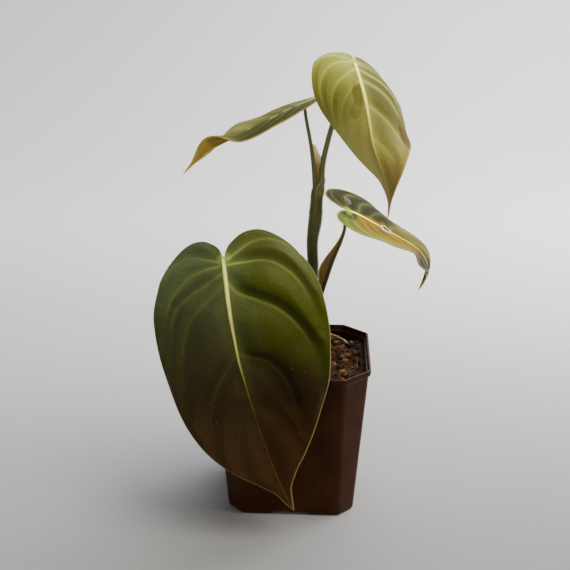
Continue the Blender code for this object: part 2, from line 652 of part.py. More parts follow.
# ---------------------------------------------------------------- assembly
def main():
    """Build every piece of the potted plant."""
    for old in list(bpy.data.objects):
        bpy.data.objects.remove(old, do_unlink=True)
    make_pot()
    mix = make_mix()
    chips = make_chips(mix)
    stem, stem_clearance = make_stem()
    cut(mix, stem_clearance)
    make_roots(mix, stem_clearance)
    make_surface_root(mix, chips, stem_clearance)
    lines = {}
    for name, sizes in LEAVES.items():
        blade = Blade(**sizes)
        make_blade(f"leaf_{name}", blade, "velvet_leaf" if name == "front" else "young_leaf")
        lines[name] = make_petiole(name, blade, stem_clearance)
    make_upper_sheath(lines["upper_left"], lines["upper_right"])
    make_lower_sheath(lines["lower_right"], stem_clearance)


main()
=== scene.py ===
"""Young velvet-leaf philodendron in a square nursery pot: its fine model, finishes and studio.

Run as a script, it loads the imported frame, builds each piece in the frame's own place and
stands the result in a plain pale studio.  Metres, +Z up, -Y is the front.
"""

import math

import bpy
import numpy as np
from bpy.props import FloatProperty, FloatVectorProperty, IntProperty, PointerProperty
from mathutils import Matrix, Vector


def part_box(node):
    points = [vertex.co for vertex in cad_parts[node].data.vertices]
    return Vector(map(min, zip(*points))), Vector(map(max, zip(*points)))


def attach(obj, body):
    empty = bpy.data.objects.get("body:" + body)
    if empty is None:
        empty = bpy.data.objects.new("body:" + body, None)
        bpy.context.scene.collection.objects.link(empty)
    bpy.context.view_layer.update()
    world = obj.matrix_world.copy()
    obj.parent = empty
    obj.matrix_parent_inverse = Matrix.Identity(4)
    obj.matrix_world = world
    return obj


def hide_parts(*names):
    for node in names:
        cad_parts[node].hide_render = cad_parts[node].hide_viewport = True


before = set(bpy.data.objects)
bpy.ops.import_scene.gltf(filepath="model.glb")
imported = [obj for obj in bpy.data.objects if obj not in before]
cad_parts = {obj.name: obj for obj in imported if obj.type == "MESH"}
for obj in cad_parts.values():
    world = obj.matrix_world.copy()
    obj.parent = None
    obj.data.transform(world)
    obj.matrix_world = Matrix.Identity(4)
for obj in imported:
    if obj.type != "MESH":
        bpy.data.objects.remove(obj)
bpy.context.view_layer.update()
POT_LOW, POT_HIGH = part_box("pot")

bl_info = {
    "name": "Potted velvet philodendron",
    "version": (1, 0, 0),
    "blender": (4, 5, 0),
    "location": "View3D > Sidebar > Philodendron",
    "description": "Builds a young velvet-leaf philodendron in its nursery pot, and a studio for it",
    "category": "Add Mesh",
}

MM = 0.001

# ---------------------------------------------------------------- the design, as the frame has it
POT_TOP_WIDTH = POT_HIGH.x - POT_LOW.x
POT_HEIGHT = POT_HIGH.z
POT_BASE_WIDTH = 46.0 * MM
POT_TOP_CHAMFER = 9.0 * MM
POT_BASE_CHAMFER = 5.5 * MM
POT_CREASE = 1.2 * MM
POT_WALL = 0.9 * MM
POT_FLOOR = 2.6 * MM
POT_FOOT_RADIUS = 1.2 * MM
LIP_FLARE = 0.7 * MM
LIP_HEIGHT = 2.8 * MM
LIP_SLOPE = 1.3 * LIP_FLARE      # height over which the lip flares
# What is cut out at the middle of each side of the foot, in mm: from where to where it reaches,
# measured outwards from the foot's edge, and its section as (across, height).
FOOT_CUTS = [
    ((-8.5, 2.0), [(-9.15, -2.0), (9.15, -2.0), (6.0, 1.6), (-6.0, 1.6)]),
    ((-9.2, -2.2), [(-1.7, 0.8), (1.7, 0.8), (1.7, 5.0), (-1.7, 5.0)]),
]
MIX_DEPTH_BELOW_LIP = 8.5 * MM
MIX_HEAP = 4.0 * MM
MIX_LUMP = 0.9 * MM

INNER_HALF = POT_TOP_WIDTH / 2 - LIP_FLARE - POT_WALL
STEM_TOP = POT_HEIGHT + 62.5 * MM
STEM_FOOT = POT_HEIGHT - 16.0 * MM
STEM_RADIUS = 1.9 * MM
STEM_LINE = [(6.0, 3.0), (6.3, 2.6), (6.9, 1.6), (7.3, 1.0), (7.1, 1.0), (8.0, 1.0), (8.4, 1.0),
             (8.7, 1.0)]
STEM_HEIGHTS = [0.0, 0.16, 0.42, 0.62, 0.74, 0.83, 0.92, 1.0]
STEM_SWELLING = [0.95, 1.0, 1.08, 0.92, 0.95, 1.1, 1.0, 1.05]
STEM_JOINTS = (0.28, 0.62, 0.87)      # shares of its height where old leaves left a ring
STEM_STOUT, PETIOLE_STOUT = 1.2, 1.1  # the skin over the plain stem and petioles
STEM_LEAN = -0.25 * MM                # sideways
PETIOLE_ROOT = 6.0 * MM               # how far down inside the stem each petiole starts
ROOT_COUNT = 5
ROOT_REACH, ROOT_RADII = 15.0 * MM, (0.9, 0.45)
ROOT_END = POT_FLOOR + 6.3 * MM
# The surface root: its place as shares of the pot's inner half width, its rise over the mix (mm).
SURFACE_ROOT = [(0.36, 0.41, 7.6), (0.51, 0.69, 5.6), (0.70, 0.71, 1.9), (0.83, 0.58, -0.9)]

# One half of a blade, as (share of the length, share of the half width), sinus to tip.
HEART = [
    (0.000, 0.000), (-0.035, 0.030), (-0.085, 0.140), (-0.115, 0.340), (-0.085, 0.580),
    (0.020, 0.840), (0.170, 0.980), (0.330, 1.000), (0.500, 0.900), (0.660, 0.680),
    (0.790, 0.410), (0.870, 0.190), (0.920, 0.085), (0.960, 0.045), (1.000, 0.000),
]
LOBE = 0.2
STATIONS = [0.0, 0.25, 0.5, 0.75, 1.0]
HALF_STATIONS = [0.0, 0.4, 0.75, 1.0]
LEAVES = {
    "front": dict(
        length=94.0 * MM, half=32.0 * MM, base=(-22.3, -25.0, 41.8), face=(0.0, -1.0, 0.25),
        azimuth=[-81, -55, 20, -16, -8], pitch=[-38, -73, -76, -70, -61], roll=[-4, -8, -8, 1, -4],
        left=[(-11, -15), (-6, -20), (8, -20), (2, 1)], right=[(-2, -25), (-4, -24), (7, -20), (1, 0)]),
    "upper_right": dict(
        length=61.5 * MM, half=17.2 * MM, base=(20.4, -9.5, 105.0), face=(-0.3, -1.0, 0.3),
        lobes=0.75, sinus=0.05,
        azimuth=[-84, -77, -75, -54, -39], pitch=[-15, -35, -55, -55, -107],
        roll=[32, 4, -14, -45, -56],
        left=[(29, -59), (0, -62), (-9, -47), (0, -26)],
        right=[(-21, -52), (-33, -69), (-21, -88), (32, -32)]),
    "upper_left": dict(
        length=48.4 * MM, half=16.1 * MM, base=(3.3, -0.7, 90.4), face=(0.0, 0.0, 1.0),
        azimuth=[187, 194, 184, 195, 216], pitch=[-20, -28, -23, -33, -42],
        roll=[-15, -11, -10, -60, -61],
        left=[(15, -7), (23, -27), (56, -47), (31, -64)],
        right=[(-6, -20), (5, -27), (-3, -55), (-23, -41)]),
    "lower_right": dict(
        length=54.5 * MM, half=15.1 * MM, base=(19.3, -4.7, 54.1),
        face=(0.0, 0.0, 1.0), lobes=1.25,
        azimuth=[44, 34, 26, 10, 68], pitch=[-22, -33, -30, -62, -173], roll=[-36, -20, -8, -21, -34],
        left=[(-17, 44), (-11, 18), (3, -18), (14, -61)],
        right=[(-7, 5), (30, -33), (21, -66), (26, -60)]),
}
PETIOLES = {
    "front": dict(points=[(6.4, 2.3, 5), (2.0, -3.0, 14), (-6.0, -10.0, 24), (-15.0, -17.0, 32)],
                  radii=(1.25, 0.85), hook=4.0),
    "lower_right": dict(points=[(6.9, 1.4, 11), (9.4, 0.9, 19), (13.9, -1.2, 34), (18.2, -3.6, 47.2)],
                        radii=(0.95, 0.5), hook=0.8),
    "upper_left": dict(points=[(7.5, 0.9, 60), (7.1, 0.7, 67), (6.2, 0.3, 75), (4.3, -0.3, 85.5)],
                       radii=(0.8, 0.55), hook=1.0),
    "upper_right": dict(points=[(9.9, 1.0, 60), (10.2, 1.0, 69), (11.8, 1.0, 77), (15.5, 0.0, 90)],
                        radii=(1.05, 0.7), hook=4.0),
}
CHIP_LENGTH = 0.1316 * POT_TOP_WIDTH
CHIP_WIDTH = 0.625 * CHIP_LENGTH
CHIP_THICKNESS = 0.32 * CHIP_LENGTH
CHIP_SINK = 0.35      # of the thickness, below the mix
CHIP_LUMPS = 0.13     # of the radius
# Each chip: its place as shares of the pot's inner half width, its heading in degrees, its size.
CHIPS = [
    (0.62, 0.62, 30, 0.8), (0.72, 0.16, 100, 0.9), (0.50, -0.12, 60, 1.1), (0.72, -0.40, 15, 0.9),
    (0.42, -0.66, 150, 1.1), (0.02, -0.55, 80, 1.0), (-0.40, -0.62, 20, 0.9), (-0.62, -0.10, 70, 1.1),
    (-0.52, 0.52, 130, 1.0), (0.0, 0.66, 10, 1.0),
]

# ---------------------------------------------------------------- veins
# Side veins as places on the flat blade (share of the length, share of the half width), from
# the midrib outwards, with the strength of the vein's colour.
FRONT_RIGHT_VEINS = [
    (0.8, [(0.005, 0.05), (-0.030, 0.18), (-0.055, 0.29), (-0.067, 0.46), (-0.055, 0.60), (-0.02, 0.73),
           (0.06, 0.83)]),
    (1.0, [(0.030, 0.04), (0.024, 0.21), (0.022, 0.38), (0.040, 0.52), (0.080, 0.66), (0.135, 0.77),
           (0.24, 0.87)]),
    (0.8, [(0.100, 0.02), (0.134, 0.09), (0.172, 0.28), (0.212, 0.48), (0.264, 0.62), (0.338, 0.73),
           (0.43, 0.79)]),
    (0.2, [(0.350, 0.01), (0.380, 0.13), (0.403, 0.26), (0.439, 0.34), (0.483, 0.40), (0.55, 0.44),
           (0.647, 0.46)]),
    (0.04, [(0.560, 0.01), (0.600, 0.16), (0.660, 0.28), (0.740, 0.34)]),
]
FRONT_LEFT_VEINS = [
    (0.5, [(0.010, 0.05), (-0.017, 0.19), (-0.042, 0.31), (-0.059, 0.46), (-0.045, 0.62),
           (0.01, 0.77)]),
    (0.65, [(0.026, 0.05), (0.022, 0.25), (0.029, 0.40), (0.052, 0.52), (0.083, 0.63), (0.15, 0.75),
            (0.24, 0.84)]),
    (0.4, [(0.060, 0.03), (0.080, 0.22), (0.107, 0.43), (0.133, 0.58), (0.200, 0.72), (0.30, 0.80)]),
    (0.3, [(0.100, 0.03), (0.130, 0.15), (0.160, 0.29), (0.200, 0.44), (0.270, 0.58), (0.36, 0.68),
           (0.45, 0.72)]),
    (0.16, [(0.350, 0.01), (0.387, 0.10), (0.475, 0.32), (0.560, 0.46), (0.640, 0.52)]),
    (0.05, [(0.570, 0.01), (0.620, 0.16), (0.690, 0.27), (0.760, 0.31)]),
]
YOUNG_VEINS = [
    (0.5, [(0.000, 0.05), (-0.030, 0.20), (-0.055, 0.40), (-0.040, 0.62), (0.03, 0.80), (0.12, 0.89)]),
    (0.8, [(0.020, 0.04), (0.030, 0.25), (0.050, 0.50), (0.100, 0.70), (0.20, 0.85), (0.30, 0.91)]),
    (0.75, [(0.090, 0.03), (0.130, 0.20), (0.170, 0.45), (0.230, 0.65), (0.33, 0.80), (0.43, 0.84)]),
    (0.55, [(0.200, 0.03), (0.240, 0.20), (0.300, 0.45), (0.380, 0.63), (0.50, 0.72), (0.60, 0.70)]),
    (0.4, [(0.380, 0.02), (0.430, 0.20), (0.500, 0.38), (0.600, 0.50), (0.70, 0.50)]),
    (0.2, [(0.580, 0.02), (0.640, 0.16), (0.720, 0.26), (0.79, 0.28)]),
]

# ---------------------------------------------------------------- marks on the leaves
# Where the front leaf drops towards a side vein: the half (0 left, 1 right), the vein, the drop,
# the width of the drop, the reach of the rise after it (mm), and the strength of the painted shade in
# the trough.
FRONT_STEPS = [
    (1, 3, 2.0, 3.4, 18.0, 1.0), (1, 2, 1.2, 4.0, 11.0, 0.5), (1, 1, 0.8, 4.0, 9.0, 0.3),
    (0, 4, 0.7, 4.0, 14.0, 0.25), (0, 2, 0.5, 3.5, 9.0, 0.2),
]
# For each young leaf, how strongly its side veins show, then its oval spots: what they are, the
# place as shares of the length and the half width, the two half axes likewise, and the amount.
YOUNG_MARKS = {
    "upper_right": (1.0, [
        ("wet", 0.30, -0.12, 0.10, 0.09, 0.6), ("wet", 0.38, -0.22, 0.05, 0.14, 0.35),
        ("wet", 0.58, 0.66, 0.16, 0.13, 0.9), ("wet", 0.68, 0.80, 0.10, 0.12, 0.8)]),
    "upper_left": (0.15, [("deep", 0.30, 0.0, 0.40, 1.6, 0.62), ("deep", 0.58, 0.0, 0.14, 1.2, 0.5)]),
    "lower_right": (0.35, [
        # The first spot darkens the base of the far half as painted shade, where it turns from the
        # light.
        ("deep", 0.10, 0.6, 0.42, 0.70, 0.6), ("gold", 0.30, -0.24, 0.27, 0.42, 1.0),
        ("gold", 0.50, -0.2, 0.16, 0.34, 0.9), ("deep", 0.0, -0.05, 0.10, 0.25, 0.7),
        ("deep", 0.86, -0.6, 0.2, 0.8, 0.9), ("wet", 0.24, -0.35, 0.10, 0.18, 0.35)]),
}
# Colours of the young leaves from base to tip: the half in the light, then the half turned away.
FRESH_TONES = (
    [(0.0, "#7a8036"), (0.25, "#7c7b38"), (0.42, "#9d9a50"), (0.62, "#aaa45e"), (0.85, "#a3955a"),
     (1.0, "#97794a")],
    [(0.0, "#4b5220"), (0.25, "#404019"), (0.45, "#4a4a20"), (0.7, "#6c6632"), (1.0, "#8a6f44")])
YELLOWING_TONES = (
    [(0.0, "#4f5a1c"), (0.3, "#5a5a1e"), (0.56, "#544c1e"), (0.66, "#33250e"), (1.0, "#22180a")],
    [(0.0, "#1c200b"), (0.35, "#212510"), (0.55, "#5e5a2a"), (0.82, "#5a5028"), (0.93, "#3c2a12"),
     (1.0, "#33240f")])
# Water on the lower right leaf: the place as shares of the length and the half width, the length,
# width and height (mm), and the strength of the raised ring round its edge, which carries a painted
# highlight.
WATER_BEADS = {
    "water_bead_near": (0.345, -0.06, 6.0, 4.2, 0.9, 1.0),
    "water_bead_far": (0.07, 0.40, 4.2, 4.6, 0.3, 0.0),
}

# ---------------------------------------------------------------- the studio
SWEEP_HALF_WIDTH = 1.8
SWEEP_FRONT = -1.2
SWEEP_BEND = 0.5            # where the floor starts to rise, and the radius it rises on
SWEEP_HEIGHT = 2.2
LIGHT_TARGET = (0.0, -0.005, 0.085)
LIGHTS = [                  # name, place and diameter in metres, watts, tint
    ("window", (0.36, -0.16, 0.62), 0.55, 8.5, "#fffaf0"),
    ("fill", (-0.25, -0.95, 0.45), 0.9, 4.8, "#fff8ee"),
    ("side", (0.46, 0.44, 0.10), 0.12, 1.0, "#ffffff"),
    ("ceiling", (0.50, 0.80, 1.4), 1.6, 74.0, "#fdfdff"),
]
ROOM_TINT, ROOM_STRENGTH = "#d8dbe0", 0.14
CAMERA_AIM = (-0.003, 0.0, 0.081)
CAMERA_AZIMUTH, CAMERA_RISE = math.radians(3.0), math.radians(17.5)
CAMERA_DISTANCE = 0.35
CAMERA_LENS, CAMERA_SENSOR = 60.76, 36.0      # mm


# ---------------------------------------------------------------- colour and nodes
def linear(code):
    """An sRGB hex colour as the linear red, green, blue and alpha that the shaders use."""
    parts = [int(code[i:i + 2], 16) / 255 for i in (1, 3, 5)]
    return (*[c / 12.92 if c <= 0.04045 else ((c + 0.055) / 1.055) ** 2.4 for c in parts], 1.0)


def colour(name, code, description):
    """A colour property whose default is an sRGB hex value."""
    return FloatVectorProperty(name=name, description=description, subtype="COLOR", size=4,
                               min=0.0, max=1.0, default=linear(code))


def add(tree, kind, inputs=None, stops=None, **settings):
    """One shader node; an input is a value, a hex colour, or the socket that feeds it."""
    made = tree.nodes.new("ShaderNode" + kind)
    for name, value in settings.items():
        setattr(made, name, value)
    for name, value in (inputs or {}).items():
        if isinstance(value, bpy.types.NodeSocket):
            tree.links.new(value, made.inputs[name])
        else:
            made.inputs[name].default_value = linear(value) if isinstance(value, str) else value
    if stops:
        elements = made.color_ramp.elements
        while len(elements) < len(stops):
            elements.new(0.5)
        for element, (place, value) in zip(elements, stops):
            element.position = place
            if isinstance(value, str):
                value = linear(value)
            element.color = (value, value, value, 1.0) if isinstance(value, float) else value
    return made


def mixed(tree, share, first, second, mode="MIX"):
    """Socket of one colour laid over another by a share."""
    made = add(tree, "Mix", {0: share, 6: first, 7: second}, data_type="RGBA", blend_type=mode)
    return made.outputs[2]


def maths(tree, operation, *values, **more):
    """Socket of a Math node with that operation on the values."""
    return add(tree, "Math", dict(enumerate(values)), operation=operation, **more).outputs[0]


def ramp(tree, share, stops):
    """Socket of a colour ramp; each stop is a place with a grey, a hex colour or a colour setting."""
    return add(tree, "ValToRGB", {0: share}, stops=stops).outputs[0]


def ranged(tree, value, low, high, first=0.0, last=1.0, kind="LINEAR"):
    """Socket that takes low to high over to first to last, and holds there outside."""
    return add(tree, "MapRange", {"Value": value, "From Min": low, "From Max": high, "To Min": first,
                                  "To Max": last}, interpolation_type=kind).outputs[0]


def eased(tree, value, low, high, first=0.0, last=1.0):
    """The same with an S curve between."""
    return ranged(tree, value, low, high, first, last, "SMOOTHSTEP")


def glazed(tree, base, tint, value, low, high, most):
    """The base under a tint, which is at its most where the value is low and gone where high."""
    return mixed(tree, eased(tree, value, low, high, most, 0.0), base, tint)


def read(tree, name, output="Fac"):
    """Socket of one of the mesh's own attributes."""
    return add(tree, "Attribute", attribute_name=name).outputs[output]


def object_place(tree):
    """Socket of the place in the object's own metres."""
    return add(tree, "TexCoord").outputs["Object"]


def split(tree, vector):
    """The three sockets of a vector's parts."""
    return add(tree, "SeparateXYZ", {0: vector}).outputs


def cloud(tree, place, scale, detail=2.0, rough=0.5):
    """Socket of soft noise, from 0 to 1; the scale is in lumps for each unit of the place."""
    return add(tree, "TexNoise", {"Vector": place, "Scale": scale, "Detail": detail,
                                  "Roughness": rough}).outputs[0]


def fibrous(tree, place, across, along, detail, rough=0.5):
    """The same drawn out into lines that run up and down."""
    drawn = add(tree, "Mapping", {0: place, "Scale": (across, across, along)}).outputs[0]
    return cloud(tree, drawn, 1.0, detail, rough)


def relief(tree, strength, distance, height, **more):
    """Socket of a normal tilted by a height; the distance is in metres."""
    return add(tree, "Bump", {"Strength": strength, "Distance": distance, "Height": height,
                              **more}).outputs[0]


def material(name):
    """A new empty material and its tree."""
    made = bpy.data.materials.new(name)
    made.use_nodes = True
    made.node_tree.nodes.clear()
    return made, made.node_tree


def surfaced(made, inputs):
    """The material, its surface a Principled shader with these inputs."""
    skin = add(made.node_tree, "BsdfPrincipled", inputs).outputs[0]
    add(made.node_tree, "OutputMaterial", {"Surface": skin})
    return made


# ---------------------------------------------------------------- numbers
def through(stations, values, at):
    """Cubic Hermite curve through values at stations, its slopes taken from the neighbours."""
    stations = np.asarray(stations, float)
    values = np.asarray(values, float)
    slopes = np.gradient(values, stations, axis=0)
    at = np.clip(np.atleast_1d(at), stations[0], stations[-1])
    i = np.clip(np.searchsorted(stations, at, side="right") - 1, 0, len(stations) - 2)
    span = stations[i + 1] - stations[i]
    t = (at - stations[i]) / span
    if values.ndim == 2:
        span = span[:, None]
        t = t[:, None]
    start = (2 * t**3 - 3 * t**2 + 1) * values[i] + (t**3 - 2 * t**2 + t) * span * slopes[i]
    end = (3 * t**2 - 2 * t**3) * values[i + 1] + (t**3 - t**2) * span * slopes[i + 1]
    return start + end


def unit(vectors):
    """The same directions, one long."""
    return vectors / np.linalg.norm(vectors, axis=-1, keepdims=True)


def above_lip(place):
    """A place in mm, its height from the pot's lip, as one in metres from the pot's underside."""
    return np.array(place) * MM + (0.0, 0.0, POT_HEIGHT)


def smooth_path(points, rows):
    """Places at even steps along a smooth curve through the points."""
    points = np.asarray(points, float)
    length = np.concatenate([[0.0], np.cumsum(np.linalg.norm(np.diff(points, axis=0), axis=1))])
    return through(length / length[-1], points, np.linspace(0.0, 1.0, rows))


def smoothstep(low, high, value):
    """0 below low, 1 above high, and an S curve between."""
    t = np.clip((value - low) / (high - low), 0.0, 1.0)
    return t * t * (3 - 2 * t)


def noise(x, y, seed):
    """Value noise from -1 to 1: random heights on a unit lattice, eased between its corners."""
    table = np.random.default_rng(seed).uniform(-1.0, 1.0, (64, 64))
    xi, yi = np.floor(x).astype(int), np.floor(y).astype(int)
    fx, fy = smoothstep(0, 1, x - xi), smoothstep(0, 1, y - yi)
    low = table[xi % 64, yi % 64] * (1 - fx) + table[(xi + 1) % 64, yi % 64] * fx
    high = table[xi % 64, (yi + 1) % 64] * (1 - fx) + table[(xi + 1) % 64, (yi + 1) % 64] * fx
    return low * (1 - fy) + high * fy


def distance_to(points, line):
    """Shortest distance from flat points to a polyline, how far along it, and on which side."""
    start, step = line[:-1], np.diff(line, axis=0)
    length = np.maximum((step**2).sum(1), 1e-12)
    reach = points[:, None, :] - start[None, :, :]
    t = np.clip((reach * step).sum(-1) / length, 0.0, 1.0)
    apart = reach - t[..., None] * step
    far = np.sqrt((apart**2).sum(-1))
    nearest = far.argmin(1)
    every = np.arange(len(points))
    side = step[nearest, 1] * apart[every, nearest, 0] - step[nearest, 0] * apart[every, nearest, 1]
    return far[every, nearest], (nearest + t[every, nearest]) / len(start), np.sign(side)


# ---------------------------------------------------------------- meshes
def grid_faces(rows, columns, wrap=False):
    """Quads of a grid numbered row by row; wrap joins its last column to its first."""
    wide = columns if wrap else columns - 1
    i, j = np.meshgrid(np.arange(rows - 1), np.arange(wide), indexing="ij")
    k = (j + 1) % columns
    return np.stack([i * columns + j, (i + 1) * columns + j, (i + 1) * columns + k, i * columns + k],
                    axis=-1).reshape(-1, 4)


def new_piece(name, points, quads, triangles=(), attributes=None):
    """A smooth mesh object from arrays of points, quads and triangles, with point attributes."""
    quads = np.asarray(quads, int).reshape(-1, 4)
    triangles = np.asarray(triangles, int).reshape(-1, 3)
    mesh = bpy.data.meshes.new(name)
    mesh.vertices.add(len(points))
    mesh.vertices.foreach_set("co", np.asarray(points, np.float32).ravel())
    corners = np.concatenate([quads.ravel(), triangles.ravel()]).astype(np.int32)
    mesh.loops.add(len(corners))
    mesh.loops.foreach_set("vertex_index", corners)
    starts = np.concatenate([4 * np.arange(len(quads)), 4 * len(quads) + 3 * np.arange(len(triangles))])
    mesh.polygons.add(len(starts))
    mesh.polygons.foreach_set("loop_start", starts.astype(np.int32))
    mesh.update(calc_edges=True)
    for key, values in (attributes or {}).items():
        values = np.asarray(values, np.float32)
        if values.ndim == 2:
            mesh.attributes.new(key, "FLOAT_VECTOR", "POINT").data.foreach_set("vector", values.ravel())
        else:
            mesh.attributes.new(key, "FLOAT", "POINT").data.foreach_set("value", values)
    mesh.validate()
    mesh.shade_smooth()
    made = bpy.data.objects.new(name, mesh)
    bpy.context.scene.collection.objects.link(made)
    return made


def settle(made, finish, slot, *nodes):
    """Give a piece its material and its body, and hide the frame nodes that it stands for; slot is not
    used.
    """
    made.data.materials.append(finish)
    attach(made, "root")
    if nodes:
        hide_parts(*nodes)
    return made


def stalk(line, radii, sides, ribs, depth):
    """Rings of the given radii round a line, closed to a point at each end.

    The radius also swings by depth * cos(ribs * angle), which gives a faint fluting."""
    line = np.asarray(line, float)
    along = unit(np.gradient(line, axis=0))
    side = unit(np.cross(along[0], (0.3, 1.0, 0.2)))
    turn = np.linspace(0.0, 2 * math.pi, sides, endpoint=False)
    swing = 1 + depth * np.cos(ribs * turn)
    rings = np.zeros((len(line), sides, 3))
    for row, (centre, direction, radius) in enumerate(zip(line, along, radii)):
        side = unit(side - direction * side.dot(direction))
        other = np.cross(direction, side)
        circle = np.outer(np.cos(turn), side) + np.outer(np.sin(turn), other)
        rings[row] = centre + radius * circle * swing[:, None]
    return loft(rings, line[:1], line[-1:])


def loft(rings, first_pole, last_pole, clockwise=False):
    """Closed surface over rings (rows, points, 3), with a pole point at each end.

    Rings run anticlockwise seen from the last pole, unless clockwise is set."""
    rows, around = rings.shape[:2]
    points = np.vstack([rings.reshape(-1, 3), first_pole, last_pole])
    quads = grid_faces(rows, around, wrap=True)
    j = np.arange(around)
    k = (j + 1) % around
    if clockwise:
        j, k = k, j
    else:
        quads = quads[:, ::-1]
    base = (rows - 1) * around
    fans = np.vstack([np.stack([np.full(around, len(points) - 2), k, j], 1),
                      np.stack([np.full(around, len(points) - 1), base + j, base + k], 1)])
    return points, quads, fans


def joined(parts):
    """Several (points, quads, triangles, attribute values) as one set of arrays."""
    points, quads, triangles, values = [], [], [], []
    count = 0
    for part in parts:
        points.append(part[0])
        quads.append(np.asarray(part[1], int).reshape(-1, 4) + count)
        triangles.append(np.asarray(part[2], int).reshape(-1, 3) + count)
        values.append(np.broadcast_to(part[3], len(part[0])))
        count += len(part[0])
    return np.vstack(points), np.vstack(quads), np.vstack(triangles), np.concatenate(values)


# ---------------------------------------------------------------- the blades
class Blade:
    """A heart-shaped blade, bent along its midrib, folded about it and curled in each half.

    The midrib's direction (azimuth and pitch) is summed along its length.  A place beside it
    lies on a circular arc that leaves the midrib at the fold angle and turns by the curl.
    """

    def __init__(self, length, half, base, face, azimuth, pitch, roll, left, right, lobes=1.0,
                 sinus=1.0):
        self.length, self.half, self.lobes = length, half, lobes
        self.outline = np.array(HEART)
        self.outline[1:3, 1] *= sinus
        self.left, self.right = np.radians(left), np.radians(right)
        self.shares = np.linspace(-LOBE, 1.0, 241)
        at = np.clip(self.shares, 0.0, 1.0)
        azimuth = np.radians(through(STATIONS, azimuth, at))
        pitch = np.radians(through(STATIONS, pitch, at))
        along = np.column_stack([
            np.cos(pitch) * np.cos(azimuth), np.cos(pitch) * np.sin(azimuth), np.sin(pitch)])
        step = (self.shares[1] - self.shares[0]) * length
        line = np.vstack([np.zeros(3), np.cumsum((along[1:] + along[:-1]) / 2 * step, axis=0)])
        junction = np.array([np.interp(0.0, self.shares, line[:, k]) for k in range(3)])
        self.line = line - junction + above_lip(base)
        up = unit(np.array(face) - (along @ np.array(face))[:, None] * along)
        across = np.cross(up, along)
        roll = np.radians(through(STATIONS, roll, at))[:, None]
        self.up = up * np.cos(roll) + across * np.sin(roll)
        self.across = np.cross(self.up, along)

    def point(self, down, out):
        """The place that is down the midrib and out from it, both in metres on the flat blade."""
        share = down / self.length
        line, up, across = (
            np.column_stack([np.interp(share, self.shares, track[:, k]) for k in range(3)])
            for track in (self.line, self.up, self.across))
        at = np.clip(share, 0.0, 1.0)
        angles = np.where((out < 0)[:, None], through(HALF_STATIONS, self.left, at),
                          through(HALF_STATIONS, self.right, at))
        fold = angles[:, 0]
        curl = angles[:, 1] * np.abs(out) / self.half
        curl = np.where(np.abs(curl) < 1e-6, 1e-6, curl)
        sideways = out * (np.sin(fold + curl) - np.sin(fold)) / curl
        rise = np.abs(out) * (np.cos(fold) - np.cos(fold + curl)) / curl
        return line + unit(across) * sideways[:, None] + unit(up) * rise[:, None]

    def normal(self, down, out):
        """The direction that the upper side faces there."""
        step = 0.4 * MM
        forward = self.point(down + step, out) - self.point(down - step, out)
        aside = self.point(down, out + step) - self.point(down, out - step)
        return unit(np.cross(forward, aside))

    def rim(self, rows):
        """The outline of one half, as flat places in metres from the sinus to the tip."""
        steps = np.linalg.norm(np.diff(self.outline, axis=0), axis=1)
        length = np.concatenate([[0.0], np.cumsum(steps)])
        rim = through(length / length[-1], self.outline, np.linspace(0.0, 1.0, rows))
        rim[:, 0] *= np.where(rim[:, 0] < 0, self.lobes, 1.0)
        return rim * (self.length, self.half)

    def half_grid(self, rows, columns):
        """Flat places of one half: rows from the sinus to the tip, columns from midrib to rim."""
        rim = self.rim(rows)
        middle = self.length * np.linspace(0.0, 1.0, rows)[:, None]**2
        across = np.linspace(0.0, 1.0, columns + 1)
        across = across * (1.35 - 0.35 * across)          # a little closer together at the rim
        return middle + (rim[:, :1] - middle) * across, rim[:, 1:] * across


def vein_lines(veins, blade):
    """Each side vein as (strength, smooth line of flat places in mm), run on past its end."""
    lines = []
    for strength, places in veins:
        flat = np.array(places)
        flat[:, 0] *= np.where(flat[:, 0] < 0, blade.lobes, 1.0)
        flat = smooth_path(flat * (blade.length / MM, blade.half / MM), 26)
        lines.append((strength, np.vstack([flat, flat[-1] + (flat[-1] - flat[-2]) * 6])))
    return lines


END_GAP = 12.0      # mm, taken as the space between veins beyond the first and the last


def vein_field(down, out, lines):
    """Phase, gap, strength and distance (mm) of flat places among the side veins of one half.

    Between vein k and vein k + 1 the phase runs from k to k + 1 in the ratio of the two
    distances and the gap is their sum, so the two together give the distance to a vein.
    """
    points = np.column_stack([down, out])
    found = [distance_to(points, line) for _, line in lines]
    apart, along, tipward = (np.array(values) for values in zip(*found))
    every = np.arange(len(points))
    last = len(lines) - 1
    passed = (tipward > 0).sum(0)
    low = apart[np.clip(passed - 1, 0, last), every]
    high = apart[np.clip(passed, 0, last), every]
    gap = np.where((passed > 0) & (passed <= last), low + high, END_GAP)
    phase = passed - 1 + low / np.maximum(low + high, 1e-6)
    phase = np.where(passed == 0, -np.minimum(high / END_GAP, 0.49), phase)
    phase = np.where(passed > last, last + np.minimum(low / END_GAP, 0.49), phase)
    nearest = np.clip(np.round(phase).astype(int), 0, last)
    strength = np.array([shown for shown, _ in lines])[nearest]
    strength = strength * (1 - smoothstep(0.55, 0.95, along[nearest, every]))
    return phase, gap, strength, apart.min(0)


